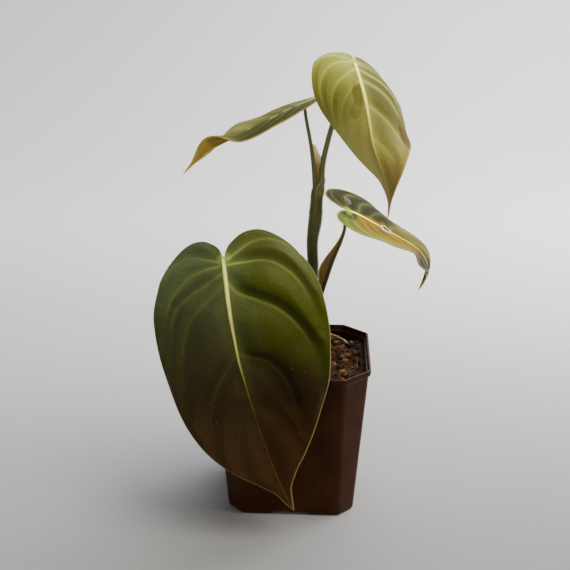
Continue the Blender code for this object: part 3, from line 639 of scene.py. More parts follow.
def make_leaf(name, veins, rows, columns, thickness, quilt, reach, ridge, ruffle, patches=(), steps=()):
    """A closed blade: an upper and a lower sheet that meet in a rounded rim (all lengths in mm).

    Both follow the blade's middle surface, raised between the veins by
    quilt * (1 - exp(-(distance / reach)^2)); the midrib stands up by ridge on the lower side,
    and a step drops the surface towards one vein, with painted shade for the trough above it.  The
    whole is waved by ruffle times two sizes of noise.  Each patch is an oval spot on the blade.
    """
    blade = Blade(**LEAVES[name])
    down, out = blade.half_grid(rows, columns)
    rim_line = blade.rim(240) / MM
    halves = []
    for side in (0, 1):
        d, o = down.ravel() / MM, out.ravel() / MM
        lines = vein_lines(veins[side], blade)
        phase, gap, strength, apart = vein_field(d, o, lines)
        rim = distance_to(np.column_stack([d, o]), rim_line)[0]
        pillow = 1 - np.exp(-(apart / reach)**2)
        height = quilt * pillow * (1 - np.exp(-(o / (1.1 * reach))**2))
        height -= 0.14 * quilt * np.exp(-(apart / 0.5)**2) * strength
        trough_shade = np.zeros(len(d))
        for step_side, number, drop, width, spread, shade in steps:
            if side == step_side:
                far, along, tipward = distance_to(np.column_stack([d, o]), lines[number][1])
                ahead = far * tipward
                here = smoothstep(0.0, 0.22, along) * (1 - smoothstep(0.75, 1.0, along))
                here = here * smoothstep(0.0, 3.0, o)
                fall = smoothstep(-width, 0.0, ahead) * (1 - smoothstep(0.0, spread, ahead))
                height -= drop * here * fall
                # Painted shade for the trough just above the vein.
                trough = np.exp(-((ahead + 0.5 * width) / (0.5 * width))**2)
                trough_shade = np.maximum(trough_shade, shade * here * trough)
        halves.append([d, o if side else -o, phase, gap, strength, rim, height, trough_shade])
    wide = columns + 1
    flat = [np.concatenate([a.reshape(rows, wide)[:, :0:-1], b.reshape(rows, wide)], axis=1)
            for a, b in zip(*halves)]
    d, o, phase, gap, strength, rim, height, trough_shade = (values[1:-1] for values in flat)
    height = height + ruffle * noise(d / 9 + 3, o / 9 + 7, 5)
    height = height + 0.25 * ruffle * noise(d / 3.1, o / 3.1, 6)
    height *= smoothstep(0.0, 3.0, rim)
    length = blade.length / MM
    rib = np.exp(-(o / (1.15 - 0.75 * d / length))**2) * (1 - 0.7 * d / length)
    rib = rib * smoothstep(0.0, 1.5, rim)
    edge = np.sqrt(1 - (1 - np.clip(rim / (0.7 * thickness), 0.0, 1.0))**2)
    flat_down, flat_out = d.ravel() * MM, o.ravel() * MM
    middle = blade.point(flat_down, flat_out)
    normal = blade.normal(flat_down, flat_out)
    vein_ridge = 0.35 * ridge * strength * np.exp(-((np.abs(phase - np.round(phase)) * gap) / 0.4)**2)
    upper = height + edge * thickness / 2 + 0.3 * ridge * rib
    lower = height - edge * thickness / 2 - (ridge * rib + vein_ridge) * np.clip(rim, 0.0, 1.0)
    shape = (*d.shape, 3)
    top = (middle + normal * upper.reshape(-1, 1) * MM).reshape(shape)
    under = (middle + normal * lower.reshape(-1, 1) * MM).reshape(shape)
    rings = np.concatenate([top, under[:, -2:0:-1]], axis=1)
    ends = blade.point(np.array([0.0, blade.length]), np.zeros(2))

    def wrapped(values, first, final):
        """Values of the grid carried round both sheets, then one for each pole."""
        return np.concatenate([np.concatenate([values, values[:, -2:0:-1]], axis=1).ravel(),
                               [first, final]])

    # deep begins as the painted trough shade; the darker spots of the young leaves are laid over it.
    spots = {"deep": trough_shade, "wet": np.zeros(d.shape), "gold": np.zeros(d.shape)}
    for kind, at_down, at_out, long, broad, amount in patches:
        off = ((d / length - at_down) / long)**2 + ((o / (blade.half / MM) - at_out) / broad)**2
        off = off + 0.35 * noise(d / 2.3 + at_down * 40, o / 2.3, 9)
        spots[kind] = np.maximum(spots[kind], amount * (1 - smoothstep(0.55, 1.15, off)))
    beneath = np.zeros(rings.shape[:2])
    beneath[:, top.shape[1]:] = 1.0
    attributes = {
        "place": np.column_stack([wrapped(o, 0, 0), wrapped(d, 0, length), wrapped(rim, 0, 0)]),
        "veins": np.column_stack([wrapped(phase, 0.5, 0.5), wrapped(gap, 9, 9),
                                  wrapped(strength, 0, 0)]),
        "spots": np.column_stack([wrapped(spots[key], 0, 0) for key in ("deep", "wet", "gold")]),
        "beneath": np.concatenate([beneath.ravel(), [0, 0]]),
        "share": wrapped(d / length, 0, 1),
    }
    return new_piece("fine_leaf_" + name, *loft(rings, ends[0], ends[1], clockwise=True), attributes)


def blade_sockets(tree):
    """Shader values that both leaf materials read from the blade: masks of its veins and rim.

    out, down and rim are mm on the flat blade; apart is the distance to the nearest side vein;
    line is that vein's own mask, feathered by hair."""
    out, down, rim = split(tree, read(tree, "place", "Vector"))
    phase, gap, vigour = split(tree, read(tree, "veins", "Vector"))
    beneath = read(tree, "beneath")
    flat = add(tree, "CombineXYZ", {0: out, 1: down, 2: beneath}).outputs[0]
    hair = cloud(tree, flat, 2.6, 3.0, 0.6)
    apart = maths(tree, "MULTIPLY", maths(tree, "PINGPONG", phase, 0.5), gap)
    feather = maths(tree, "MULTIPLY_ADD", hair, 0.9, apart)
    return dict(
        out=out, rim=rim, flat=flat, hair=hair, apart=apart, vigour=vigour, beneath=beneath,
        spots=split(tree, read(tree, "spots", "Vector")), share=read(tree, "share"),
        line=eased(tree, feather, 0.35, 1.35, vigour, 0.0), aside=maths(tree, "ABSOLUTE", out),
        far=add(tree, "VectorMath", {0: flat}, operation="LENGTH").outputs["Value"])


def velvet_blade(settings):
    """Juvenile leaf skin, each cell domed and clothed in fine hairs: dull, deep green going to
    bronze and darker towards the tip, partly as painted shade, with a pale bloom at a low angle
    and feathery pale veins."""
    made, tree = material("velvety_leaf_cuticle")
    at = blade_sockets(tree)
    # The ground: painted light and shade, two ramps from base to tip for the half in the light and
    # the half away from it; both darken towards the tip, partly the leaf's own bronze, partly painted
    # shade.
    edge = eased(tree, at["out"], 8.0, 30.0, 0.0, -0.10)
    broad = cloud(tree, at["flat"], 0.09, 2.0)
    drift = maths(tree, "MULTIPLY_ADD", broad, 0.16, edge)
    down = maths(tree, "ADD", at["share"], drift)
    along = ramp(tree, down, [(0.00, settings.leaf_green), (0.20, "#313a02"), (0.42, "#282c03"),
                              (0.52, "#221b08"), (0.75, settings.leaf_bronze_and_shade), (1.00, "#331a0a")])
    shadow = ramp(tree, down, [(0.00, "#475235"), (0.25, "#3e4529"), (0.42, "#36351d"),
                               (0.60, "#2e2413"), (1.00, "#311d0e")])
    lean = maths(tree, "MULTIPLY_ADD", broad, 22.0, at["out"])
    sunny = eased(tree, lean, 2.0, 26.0)
    base = mixed(tree, sunny, shadow, along)
    speck = cloud(tree, at["flat"], 2.3, 2.0, 0.7)
    grain = ramp(tree, speck, [(0.36, 0.68), (0.5, 1.0), (0.66, 1.42)])
    base = mixed(tree, 1.0, base, grain, "MULTIPLY")
    # Painted shade in the troughs above the dropped side veins.
    base = mixed(tree, at["spots"][0], base, "#1e1307")
    # A pale halo along the midrib and the side veins, then the side veins themselves.
    halo = eased(tree, at["aside"], 0.4, 6.0, 0.22, 0.0)
    fade = ranged(tree, at["share"], 0.1, 0.6, 1.0, 0.0)
    halo = maths(tree, "MULTIPLY", halo, fade)
    base = mixed(tree, halo, base, "#5d6a3a")
    soft = eased(tree, at["apart"], 0.2, 2.6, 0.14, 0.0)
    soft = maths(tree, "MULTIPLY", soft, fade)
    base = mixed(tree, soft, base, "#6a7436")
    bold = eased(tree, at["far"], 2.0, 13.0, 1.0, 0.4)
    vein = maths(tree, "MULTIPLY", at["line"], bold)
    base = mixed(tree, vein, base, settings.leaf_vein)
    # Motes of dust in under half of the cells.
    motes = add(tree, "TexVoronoi", {"Vector": at["flat"], "Scale": 0.4})
    chosen = split(tree, motes.outputs["Color"])[0]
    chosen = maths(tree, "GREATER_THAN", chosen, 0.55)
    dot = ranged(tree, motes.outputs["Distance"], 0.03, 0.07, 0.6, 0.0)
    dot = maths(tree, "MULTIPLY", dot, chosen)
    base = mixed(tree, dot, base, "#8f9460")
    # The midrib, its edges broken by the hairs, then the junction, the worn rim and the back.
    width = ramp(tree, at["share"], [(0.0, 0.42), (0.06, 0.62), (0.16, 0.52), (0.35, 0.34), (0.7, 0.2),
                                     (1.0, 0.14)])
    ratio = maths(tree, "DIVIDE", at["aside"], width)
    ratio = maths(tree, "MULTIPLY_ADD", at["hair"], 1.3, ratio)
    rib = eased(tree, ratio, 0.7, 2.3, 1.0, 0.0)
    rib_colour = ramp(tree, at["share"], [(0.0, "#ffff9c"), (0.18, "#e4e67c"), (0.34, "#bcb95a"),
                                          (0.48, "#66602a"), (0.62, "#3f2f14"), (1.0, "#573c20")])
    base = mixed(tree, rib, base, rib_colour)
    base = glazed(tree, base, "#a9b653", at["far"], 0.2, 3.6, 0.4)
    low = ranged(tree, at["share"], -0.1, 0.55, 0.0, 1.0)
    worn = ranged(tree, at["out"], -14.0, 10.0, 0.35, 0.85)
    worn = maths(tree, "MULTIPLY", worn, low, use_clamp=True)
    base = glazed(tree, base, "#7d6a35", at["rim"], 0.25, 0.6, worn)
    back = mixed(tree, at["line"], "#4b3a22", "#6f6a3c")
    base = mixed(tree, at["beneath"], base, back)
    bump = relief(tree, 0.5, 0.00012, speck)
    cells = add(tree, "TexVoronoi", {"Vector": at["flat"], "Scale": 0.42}, feature="DISTANCE_TO_EDGE")
    net = relief(tree, 0.35, 0.00035, cells.outputs[0], Normal=bump)
    return surfaced(made, {"Base Color": base, "Roughness": settings.leaf_roughness, "Normal": net,
                           "Specular IOR Level": 0.16, "Specular Tint": "#d9c79a",
                           "Sheen Weight": settings.leaf_bloom, "Sheen Roughness": 0.45,
                           "Sheen Tint": "#8f9463"})


def young_blade(settings, name, lit_tones, dim_tones):
    """Newer, thinner leaves: pale yellow-green and faintly satiny, with fat pale veins; soaked
    patches are dark brown like wet paper; the underside is orange and smooth."""
    made, tree = material(name)
    at = blade_sockets(tree)
    deep, wet, gold = at["spots"]
    lit, dim = ramp(tree, at["share"], lit_tones), ramp(tree, at["share"], dim_tones)
    along = mixed(tree, eased(tree, at["out"], -4.0, 4.0), lit, dim)
    along = mixed(tree, 1.0, along, settings.young_tint, "MULTIPLY")
    # Darker spots; on the lower right leaf the first is painted shade on the far half's base.
    base = mixed(tree, deep, along, settings.young_deep)
    base = mixed(tree, gold, base, settings.young_gold)
    speck = cloud(tree, at["flat"], 3.0, 3.0, 0.7)
    grain = ramp(tree, speck, [(0.3, 0.55), (0.5, 1.0), (0.7, 1.6)])
    base = mixed(tree, 1.0, base, grain, "MULTIPLY")
    # The side veins, broad and faint, then narrow; fainter where the green is deep.
    pale = ranged(tree, deep, 0.0, 1.0, 1.0, 0.35)
    wide = eased(tree, at["apart"], 0.2, 2.4, 0.42, 0.0)
    wide = maths(tree, "MULTIPLY", wide, at["vigour"])
    wide = maths(tree, "MULTIPLY", wide, pale)
    base = mixed(tree, wide, base, "#8f9036")
    vein = maths(tree, "MULTIPLY", at["line"], pale)
    vein = maths(tree, "MULTIPLY", vein, 0.55)
    base = mixed(tree, vein, base, settings.young_vein)
    base = mixed(tree, wet, base, mixed(tree, 0.15, "#3a2808", base))
    # The midrib, the rim, the back and the junction.
    width = ranged(tree, at["share"], 0.0, 0.95, 0.55, 0.2)
    ratio = maths(tree, "DIVIDE", at["aside"], width)
    ratio = maths(tree, "MULTIPLY_ADD", at["hair"], 0.5, ratio)
    rib = eased(tree, ratio, 0.7, 1.4, 1.0, 0.0)
    rib_colour = ramp(tree, at["share"], [(0.0, "#f2f678"), (0.5, "#d2d058"), (1.0, "#8c7a3e")])
    base = mixed(tree, rib, base, rib_colour)
    base = glazed(tree, base, "#9c8638", at["rim"], 0.2, 0.7, 0.7)
    back = mixed(tree, at["line"], "#b89c40", "#c4b260")
    back = mixed(tree, rib, back, "#d0c070")
    back = mixed(tree, 0.6, back, grain, "MULTIPLY")
    back = mixed(tree, deep, back, "#4a3214")
    base = glazed(tree, base, "#86a030", at["far"], 0.6, 2.6, 0.8)
    base = mixed(tree, at["beneath"], base, back)
    bump = relief(tree, 0.4, 0.0001, speck)
    cells = add(tree, "TexVoronoi", {"Vector": at["flat"], "Scale": 0.5}, feature="DISTANCE_TO_EDGE")
    net = relief(tree, 0.3, 0.0003, cells.outputs[0], Normal=bump)
    return surfaced(made, {"Base Color": base, "Roughness": settings.young_roughness, "Normal": net,
                           "Specular IOR Level": 0.05, "Specular Tint": "#d8bc80",
                           "Subsurface Weight": 0.25, "Subsurface Scale": 0.0012,
                           "Subsurface Radius": (0.9, 0.85, 0.5)})


def clear_water():
    """Water bead on a leaf: clear, with a painted highlight, a pale cream line along its swollen edge.
    """
    made, tree = material("clear_water_bead")
    rim = read(tree, "rim")
    # Painted highlight: towards the swollen edge the bead turns pale cream and less clear.
    inside = ranged(tree, rim, 0.0, 1.0, 0.85, 0.15)
    tone = mixed(tree, rim, "#7d7654", "#fffbe8")
    return surfaced(made, {"Base Color": tone, "Roughness": 0.06, "IOR": 1.33,
                           "Transmission Weight": inside})


def water_bead(leaf, share, out, long, wide, tall, bright):
    """A flat bead of water on a blade, long by wide by tall (mm).

    height = tall * sqrt(1 - radius^2), with a swelling of bright * exp(-((radius - 0.8) / 0.14)^2)
    round its edge; the underside lies just inside the blade."""
    blade = Blade(**LEAVES[leaf])
    rows, sides = 14, 48
    radius = np.linspace(1.0, 1 / rows, rows)[:, None]
    turn = np.linspace(0.0, 2 * math.pi, sides, endpoint=False)[None]
    waver = 1 + 0.08 * np.sin(3 * turn + 1.0) + 0.05 * np.sin(5 * turn)
    down = share * blade.length + 0.5 * long * MM * radius * np.cos(turn) * waver
    across = out * blade.half + 0.5 * wide * MM * radius * np.sin(turn) * waver
    swelling = np.exp(-((radius - 0.8) / 0.14)**2) + 0 * turn
    height = tall * np.sqrt(np.clip(1 - radius**2, 0, 1)) * (0.5 + bright * swelling) + 0.3
    height = np.concatenate([np.full(sides, 0.1), height.ravel(), [0.1, 0.5 * tall + 0.3]])
    centre = (share * blade.length, out * blade.half)
    down = np.concatenate([down[0], down.ravel(), [centre[0]] * 2])
    across = np.concatenate([across[0], across.ravel(), [centre[1]] * 2])
    places = blade.point(down, across) + blade.normal(down, across) * height[:, None] * MM
    points, quads, fans = loft(places[:-2].reshape(rows + 1, sides, 3), places[-2:-1], places[-1:])
    # rim marks the swollen edge that carries the painted highlight.
    rim = np.concatenate([np.zeros(sides), (bright * swelling).ravel(), [0.0, 0.0]])
    return points, quads, fans, {"rim": rim}


# ---------------------------------------------------------------- stems
def stem_line(rows):
    """Centre line of the stem, from its foot in the mix to the fork."""
    shares = np.linspace(0.0, 1.0, rows)
    flat = through(STEM_HEIGHTS, np.array(STEM_LINE) * MM, shares)
    return np.column_stack([flat, STEM_FOOT + (STEM_TOP - STEM_FOOT) * shares])


def petiole_line(name, rows):
    """From inside the stem through the petiole's points to the underside of its blade."""
    blade = Blade(**LEAVES[name])
    up = blade.normal(np.zeros(1), np.zeros(1))[0]
    junction = blade.point(np.zeros(1), np.zeros(1))[0]
    points = [above_lip(point) for point in PETIOLES[name]["points"]]
    hook = PETIOLES[name]["hook"] * MM
    return smooth_path(points + [junction - up * hook, junction], rows)


def stem_skin(settings, name, low, high, streak):
    """Smooth waxy stem: fine lengthwise fibres under a satin skin, with small pale flecks."""
    made, tree = material(name)
    place = object_place(tree)
    fibre = fibrous(tree, place, 1900.0, 130.0, 4.0, 0.6)
    height = split(tree, place)[2]
    rise = ranged(tree, height, 0.055, 0.135)
    base = ramp(tree, rise, [(0.0, low), (0.55, settings.stem_green), (1.0, high)])
    lines = ramp(tree, fibre, [(0.3, 0.72), (0.5, 1.0), (0.75, 1.35)])
    skin = mixed(tree, streak, base, lines, "MULTIPLY")
    fleck = add(tree, "TexVoronoi", {"Vector": place, "Scale": 900.0})
    dots = ranged(tree, fleck.outputs["Distance"], 0.12, 0.26, 0.35, 0.0)
    skin = mixed(tree, dots, skin, "#8d8a4e")
    bump = relief(tree, 0.5, 0.00008, fibre)
    return surfaced(made, {"Base Color": skin, "Roughness": 0.42, "Normal": bump, "Sheen Weight": 0.1,
                           "Subsurface Weight": 0.1, "Subsurface Radius": (0.001, 0.0013, 0.0005)})


def papery_sheath(settings):
    """Shrivelled leaf sheath: thin, ribbed and dull, drying from green-brown to a pale edge."""
    made, tree = material("dry_sheath_membrane")
    place = object_place(tree)
    fibre = fibrous(tree, place, 2600.0, 90.0, 4.0)
    dry = read(tree, "dry")
    base = ramp(tree, dry, [(0.0, settings.sheath_skin), (0.5, "#7c7545"), (1.0, "#cdc7a8")])
    lines = ramp(tree, fibre, [(0.3, 0.7), (0.5, 1.0), (0.7, 1.3)])
    base = mixed(tree, 0.8, base, lines, "MULTIPLY")
    bump = relief(tree, 0.6, 0.0001, fibre)
    return surfaced(made, {"Base Color": base, "Roughness": 0.6, "Normal": bump,
                           "Specular IOR Level": 0.3, "Subsurface Weight": 0.4,
                           "Subsurface Scale": 0.0015, "Subsurface Radius": (1.0, 0.8, 0.5)})


def membrane(name, inner, outer, bulge, thickness, dry):
    """A closed sheet between two edge lines, bowed sideways as bulge * sin(pi * share across).

    Its thickness shrinks to nothing at the two edges; dry is its dryness row by row."""
    share = np.linspace(0.0, 1.0, 15)
    flat = inner[:, None] * (1 - share)[None, :, None] + outer[:, None] * share[None, :, None]
    flat = flat + np.asarray(bulge)[None, None, :] * np.sin(math.pi * share)[None, :, None]
    across = np.gradient(flat, axis=1)
    facing = unit(np.cross(np.gradient(flat, axis=0), across))
    half = thickness / 2 * np.sqrt(np.sin(math.pi * share))[None, :, None]
    rings = np.concatenate([flat + facing * half, (flat - facing * half)[:, -2:0:-1]], axis=1)
    values = np.concatenate([np.repeat(dry, rings.shape[1]), [dry[0], dry[-1]]])
    surface = loft(rings, flat[0].mean(0), flat[-1].mean(0), clockwise=True)
    return new_piece(name, *surface, {"dry": values})


# ---------------------------------------------------------------- the pot
ARC_POINTS = 7      # in each rounded crease
FLAT_POINTS = 6     # between two creases


def pot_outline(height, inset):
    """Rounded outlines of the pot, one for each height and inset: array (rows, points, 2).

    A square that grows from base to lip, with cut corners; every crease is a quadratic curve
    from one side of the corner to the other, a fixed length long on each side.
    """
    height, inset = np.atleast_1d(height)[:, None], np.atleast_1d(inset)[:, None]
    share = np.clip(height / POT_HEIGHT, -0.5, 1.5)
    body_top = POT_TOP_WIDTH - 2 * LIP_FLARE
    half = (POT_BASE_WIDTH + (body_top - POT_BASE_WIDTH) * share) / 2 - inset
    chamfer = POT_BASE_CHAMFER + (POT_TOP_CHAMFER - POT_BASE_CHAMFER) * share
    chamfer = chamfer - (2 - math.sqrt(2)) * inset
    # The eight creases: which side of the pot in x and in y, and whether the cut is taken off y.
    ends = np.array([(1, -1, 0), (1, -1, 1), (1, 1, 1), (1, 1, 0),
                     (-1, 1, 0), (-1, 1, 1), (-1, -1, 1), (-1, -1, 0)])
    x = ends[:, 0] * (half - np.where(ends[:, 2] == 1, 0.0, chamfer))
    y = ends[:, 1] * (half - np.where(ends[:, 2] == 1, chamfer, 0.0))
    corner = np.stack([x, y], axis=-1)
    before = corner + unit(np.roll(corner, 1, axis=1) - corner) * POT_CREASE
    after = corner + unit(np.roll(corner, -1, axis=1) - corner) * POT_CREASE
    t = np.linspace(0.0, 1.0, ARC_POINTS)[None, None, :, None]
    arc = ((1 - t)**2 * before[:, :, None] + 2 * t * (1 - t) * corner[:, :, None]
           + t**2 * after[:, :, None])
    s = np.linspace(0.0, 1.0, FLAT_POINTS + 2)[1:-1][None, None, :, None]
    following = np.roll(before, -1, axis=1)
    flats = after[:, :, None] * (1 - s) + following[:, :, None] * s
    return np.concatenate([arc, flats], axis=2).reshape(len(height), -1, 2)


def level_rings(height, inset):
    """The outlines at those heights and insets, as places: array (rows, points, 3)."""
    flat = pot_outline(height, inset)
    return np.concatenate([flat, np.broadcast_to(height[:, None, None], (*flat.shape[:2], 1))], axis=2)


def pot_rings():
    """The pot's skin: up the outside, over the rounded lip and down the inside."""
    lip_foot = POT_HEIGHT - LIP_HEIGHT
    foot = POT_FOOT_RADIUS
    turn = np.linspace(0.0, math.pi / 2, 5)
    height = list(foot * (1 - np.cos(turn)))
    inset = list(foot * (1 - np.sin(turn)))
    body = np.linspace(foot, lip_foot, 22)[1:]
    height += list(body)
    inset += [0.0] * len(body)
    flare = np.linspace(0.0, 1.0, 7)[1:]
    height += list(lip_foot + LIP_SLOPE * flare)
    inset += list(-LIP_FLARE * smoothstep(0, 1, flare))
    rounding = np.linspace(0.0, math.pi, 9)
    lip = POT_WALL / 2
    height += list(POT_HEIGHT - lip + lip * np.sin(rounding))
    inset += list(-LIP_FLARE + lip - lip * np.cos(rounding))
    flare = flare[::-1]
    height += list(lip_foot + POT_WALL / 2 + LIP_SLOPE * flare)
    inset += list(POT_WALL - LIP_FLARE * smoothstep(0, 1, flare))
    inside = np.linspace(lip_foot, POT_FLOOR, 20)
    height += list(inside)
    inset += [POT_WALL] * len(inside)
    return level_rings(np.array(height), np.array(inset))


def wedge(quarter, inner, outer, section):
    """A cutter: a section swept from inner to outer beside the foot, turned by quarters."""
    foot = POT_BASE_WIDTH / 2
    points = np.array([(foot + x * MM, y * MM, z * MM) for x in (inner, outer) for y, z in section])
    angle = quarter * math.pi / 2
    turned = np.column_stack([points[:, 0] * math.cos(angle) - points[:, 1] * math.sin(angle),
                              points[:, 0] * math.sin(angle) + points[:, 1] * math.cos(angle),
                              points[:, 2]])
    quads = [(0, 3, 2, 1), (4, 5, 6, 7), (0, 1, 5, 4), (1, 2, 6, 5), (2, 3, 7, 6), (3, 0, 4, 7)]
    return new_piece(f"cutter_{quarter}", turned, quads)


def moulded_pot(settings):
    """Thin brown polypropylene, pressed in a polished mould: semi-gloss, with faint upright
    drag lines, fine scuffs and a little dust of mix over the walls."""
    made, tree = material("moulded_polypropylene")
    place = object_place(tree)
    broad = cloud(tree, place, 70.0, 3.0)
    drag = fibrous(tree, place, 900.0, 22.0, 3.0)
    dust = cloud(tree, place, 1500.0, 2.0, 0.8)
    tone = ramp(tree, broad, [(0.3, "#28140a"), (0.6, settings.pot_brown), (0.8, "#372010")])
    lines = ramp(tree, drag, [(0.3, 0.86), (0.6, 1.08)])
    tone = mixed(tree, 0.7, tone, lines, "MULTIPLY")
    specks = ranged(tree, dust, 0.66, 0.78, 0.0, 0.35)
    tone = mixed(tree, specks, tone, "#4a3524")
    rough = ranged(tree, broad, 0.3, 0.7, 0.22, 0.34)
    scuff = relief(tree, 0.25, 0.00006, drag)
    return surfaced(made, {"Base Color": tone, "Roughness": rough, "Normal": scuff,
                           "Specular IOR Level": 0.13, "Specular Tint": "#e0b48c"})


# ---------------------------------------------------------------- the mix
def mix_height(x, y):
    """Height of the mix: level, heaped towards the right, and lumpy."""
    half = POT_TOP_WIDTH / 2
    heap = MIX_HEAP * (0.5 + 0.5 * np.tanh(3.0 * (x / half - 0.35)))
    lumps = np.sin(x / (3.1 * MM)) * np.cos(y / (2.7 * MM)) + 0.5 * np.sin((x + 2 * y) / (4.7 * MM))
    return POT_HEIGHT - MIX_DEPTH_BELOW_LIP + heap + MIX_LUMP * lumps / 1.5


def rough_height(x, y):
    """The mix with its crumb added: two sizes of eased random bumps."""
    fine = 0.9 * noise(x / (2.1 * MM), y / (2.1 * MM), 11)
    fine = fine + 0.4 * noise(x / (0.8 * MM), y / (0.8 * MM), 12)
    return mix_height(x, y) + (fine - 0.6) * MM


def mix_points(count, seed, reach=0.97):
    """Random places on the mix, even over the pot's octagon, as x and y."""
    random = np.random.default_rng(seed)
    edge = pot_outline(POT_HEIGHT - MIX_DEPTH_BELOW_LIP, POT_WALL)[0]
    random.integers(0, len(edge), count)      # unused; the draws below follow it
    # Each pick is a triangle from the middle to one piece of the outline, weighted by its area.
    area = np.abs(edge[:, 0] * np.roll(edge[:, 1], -1) - edge[:, 1] * np.roll(edge[:, 0], -1))
    pick = random.choice(len(edge), count, p=area / area.sum())
    other = (pick + 1) % len(edge)
    out = reach * np.sqrt(random.random(count))[:, None]
    share = random.random(count)[:, None]
    flat = out * (edge[pick] * (1 - share) + edge[other] * share)
    return flat[:, 0], flat[:, 1], random


def turned_about(points, spin, tilt, heading):
    """Points (many, n, 3) rolled by spin about x, tilted about y and turned about z."""
    def turn(values, a, b, angle):
        """The values turned in the plane of axes a and b."""
        c, s = np.cos(angle)[:, None], np.sin(angle)[:, None]
        values = values.copy()
        first, second = values[..., a].copy(), values[..., b].copy()
        values[..., a], values[..., b] = first * c - second * s, first * s + second * c
        return values
    return turn(turn(turn(points, 1, 2, spin), 2, 0, tilt), 0, 1, heading)


def copies(points, quads, triangles, shades):
    """Many shapes (many, n, 3) with the same faces, as one set of arrays with a shade each."""
    many, n = points.shape[:2]
    shift = n * np.arange(many)[:, None, None]
    quads = (np.asarray(quads, int).reshape(1, -1, 4) + shift).reshape(-1, 4)
    triangles = (np.asarray(triangles, int).reshape(1, -1, 3) + shift).reshape(-1, 3)
    return points.reshape(-1, 3), quads, triangles, np.repeat(shades, n)


def ball():
    """The twelve corners and twenty faces of an icosahedron of radius one."""
    g = (1 + math.sqrt(5)) / 2
    corners = [(-1, g, 0), (1, g, 0), (-1, -g, 0), (1, -g, 0), (0, -1, g), (0, 1, g),
               (0, -1, -g), (0, 1, -g), (g, 0, -1), (g, 0, 1), (-g, 0, -1), (-g, 0, 1)]
    faces = [(0, 11, 5), (0, 5, 1), (0, 1, 7), (0, 7, 10), (0, 10, 11), (1, 5, 9), (5, 11, 4),
             (11, 10, 2), (10, 7, 6), (7, 1, 8), (3, 9, 4), (3, 4, 2), (3, 2, 6), (3, 6, 8),
             (3, 8, 9), (4, 9, 5), (2, 4, 11), (6, 2, 10), (8, 6, 7), (9, 8, 1)]
    return unit(np.array(corners, float)), np.array(faces)


def crumbs(count):
    """Broken crumbs of coir: uneven flattened twenty-sided lumps from 0.7 to 2.6 mm across."""
    x, y, random = mix_points(count, 21)
    corners, faces = ball()
    shape = corners[None] * (1 + 0.28 * random.uniform(-1, 1, (count, 12, 1)))
    size = (0.3 + 1.3 * random.random(count)**3)[:, None, None] * MM
    shape = shape * size * random.uniform((1.0, 0.7, 0.45), (1.5, 1.0, 0.8), (count, 3))[:, None]
    shape = turned_about(shape, random.uniform(-1, 1, count), random.uniform(-1, 1, count),
                         random.uniform(0, 6.3, count))
    level = rough_height(x, y) + 0.25 * size[:, 0, 0]
    shape = shape + np.stack([x, y, level], axis=1)[:, None]
    return copies(shape, (), faces, random.random(count))


def flakes(count):
    """Torn flakes of husk: thin plates curled across, 2 to 5 mm long, lying at all angles."""
    x, y, random = mix_points(count, 22, 0.88)
    u, v = np.meshgrid(np.linspace(-1, 1, 6), np.linspace(-1, 1, 4), indexing="ij")
    long = random.uniform(1.2, 3.6, count)[:, None, None] * MM
    wide = long * random.uniform(0.3, 0.6, count)[:, None, None]
    ragged = 1 + 0.25 * random.uniform(-1, 1, (count, 6, 4))
    a, b = u * long * ragged, v * wide * ragged * (1 - 0.35 * u**2)
    curl = random.uniform(-0.8, 0.8, count)[:, None, None] * (b / wide)**2 * wide
    bend = random.uniform(-0.3, 0.3, count)[:, None, None] * (a / long)**2 * long
    top = np.stack([a, b, curl + bend + 0.12 * MM], axis=-1)
    under = np.stack([a, b, curl + bend - 0.12 * MM], axis=-1)
    ring = np.concatenate([top, under[:, :, ::-1]], axis=2)
    shape = ring.reshape(count, -1, 3)
    around = 8
    quads = grid_faces(6, around, wrap=True)
    ends = [(0, 1, 6, 7), (1, 2, 5, 6), (2, 3, 4, 5)]
    last = [tuple(40 + i for i in face[::-1]) for face in ends]
    shape = turned_about(shape, random.uniform(-0.7, 0.7, count), random.uniform(-0.6, 0.6, count),
                         random.uniform(0, 6.3, count))
    level = rough_height(x, y) + 0.5 * MM * random.random(count)
    shape = shape + np.stack([x, y, level], axis=1)[:, None]
    return copies(shape, np.vstack([quads, ends, last]), (), random.random(count))


def fibres(count):
    """Loose coir fibres: hair-thin tubes 4 to 11 mm long that wander over the mix."""
    x, y, random = mix_points(count, 23, 0.86)
    rows, sides = 9, 4
    t = np.linspace(-0.5, 0.5, rows)
    heading = random.uniform(0, 6.3, count)[:, None] + random.uniform(-1.6, 1.6, count)[:, None] * t
    step = random.uniform(4, 11, count)[:, None] * MM / (rows - 1)
    px = x[:, None] + np.cumsum(np.cos(heading) * step, axis=1)
    py = y[:, None] + np.cumsum(np.sin(heading) * step, axis=1)
    limit = 0.9 * (POT_TOP_WIDTH / 2 - 2 * MM)
    shrink = np.minimum(1.0, limit / np.maximum(np.maximum(np.abs(px), np.abs(py)), 1e-6))
    shrink = np.minimum(shrink, 1.32 * limit / np.maximum(np.abs(px) + np.abs(py), 1e-6))
    px, py = px * shrink, py * shrink
    arch = random.uniform(0.1, 1.6, count)[:, None] * np.cos(math.pi * t) * MM
    centre = np.stack([px, py, mix_height(px, py) + 0.45 * MM + arch], axis=-1)
    along = unit(np.gradient(centre, axis=1))
    side = unit(np.cross(along, (0.1, 0.2, 1.0)))
    other = np.cross(along, side)
    radius = random.uniform(0.05, 0.13, count)[:, None, None] * MM
    radius = radius * (1 - 0.5 * np.abs(t))[None, :, None]
    turn = np.linspace(0, 2 * math.pi, sides, endpoint=False)
    ring = (centre[:, :, None] + radius[..., None] * (np.cos(turn)[:, None] * side[:, :, None]
                                                      + np.sin(turn)[:, None] * other[:, :, None]))
    quads = np.vstack([grid_faces(rows, sides, wrap=True)[:, ::-1], [(3, 2, 1, 0)],
                       [tuple((rows - 1) * sides + i for i in range(4))]])
    return copies(ring.reshape(count, -1, 3), quads, (), random.random(count))


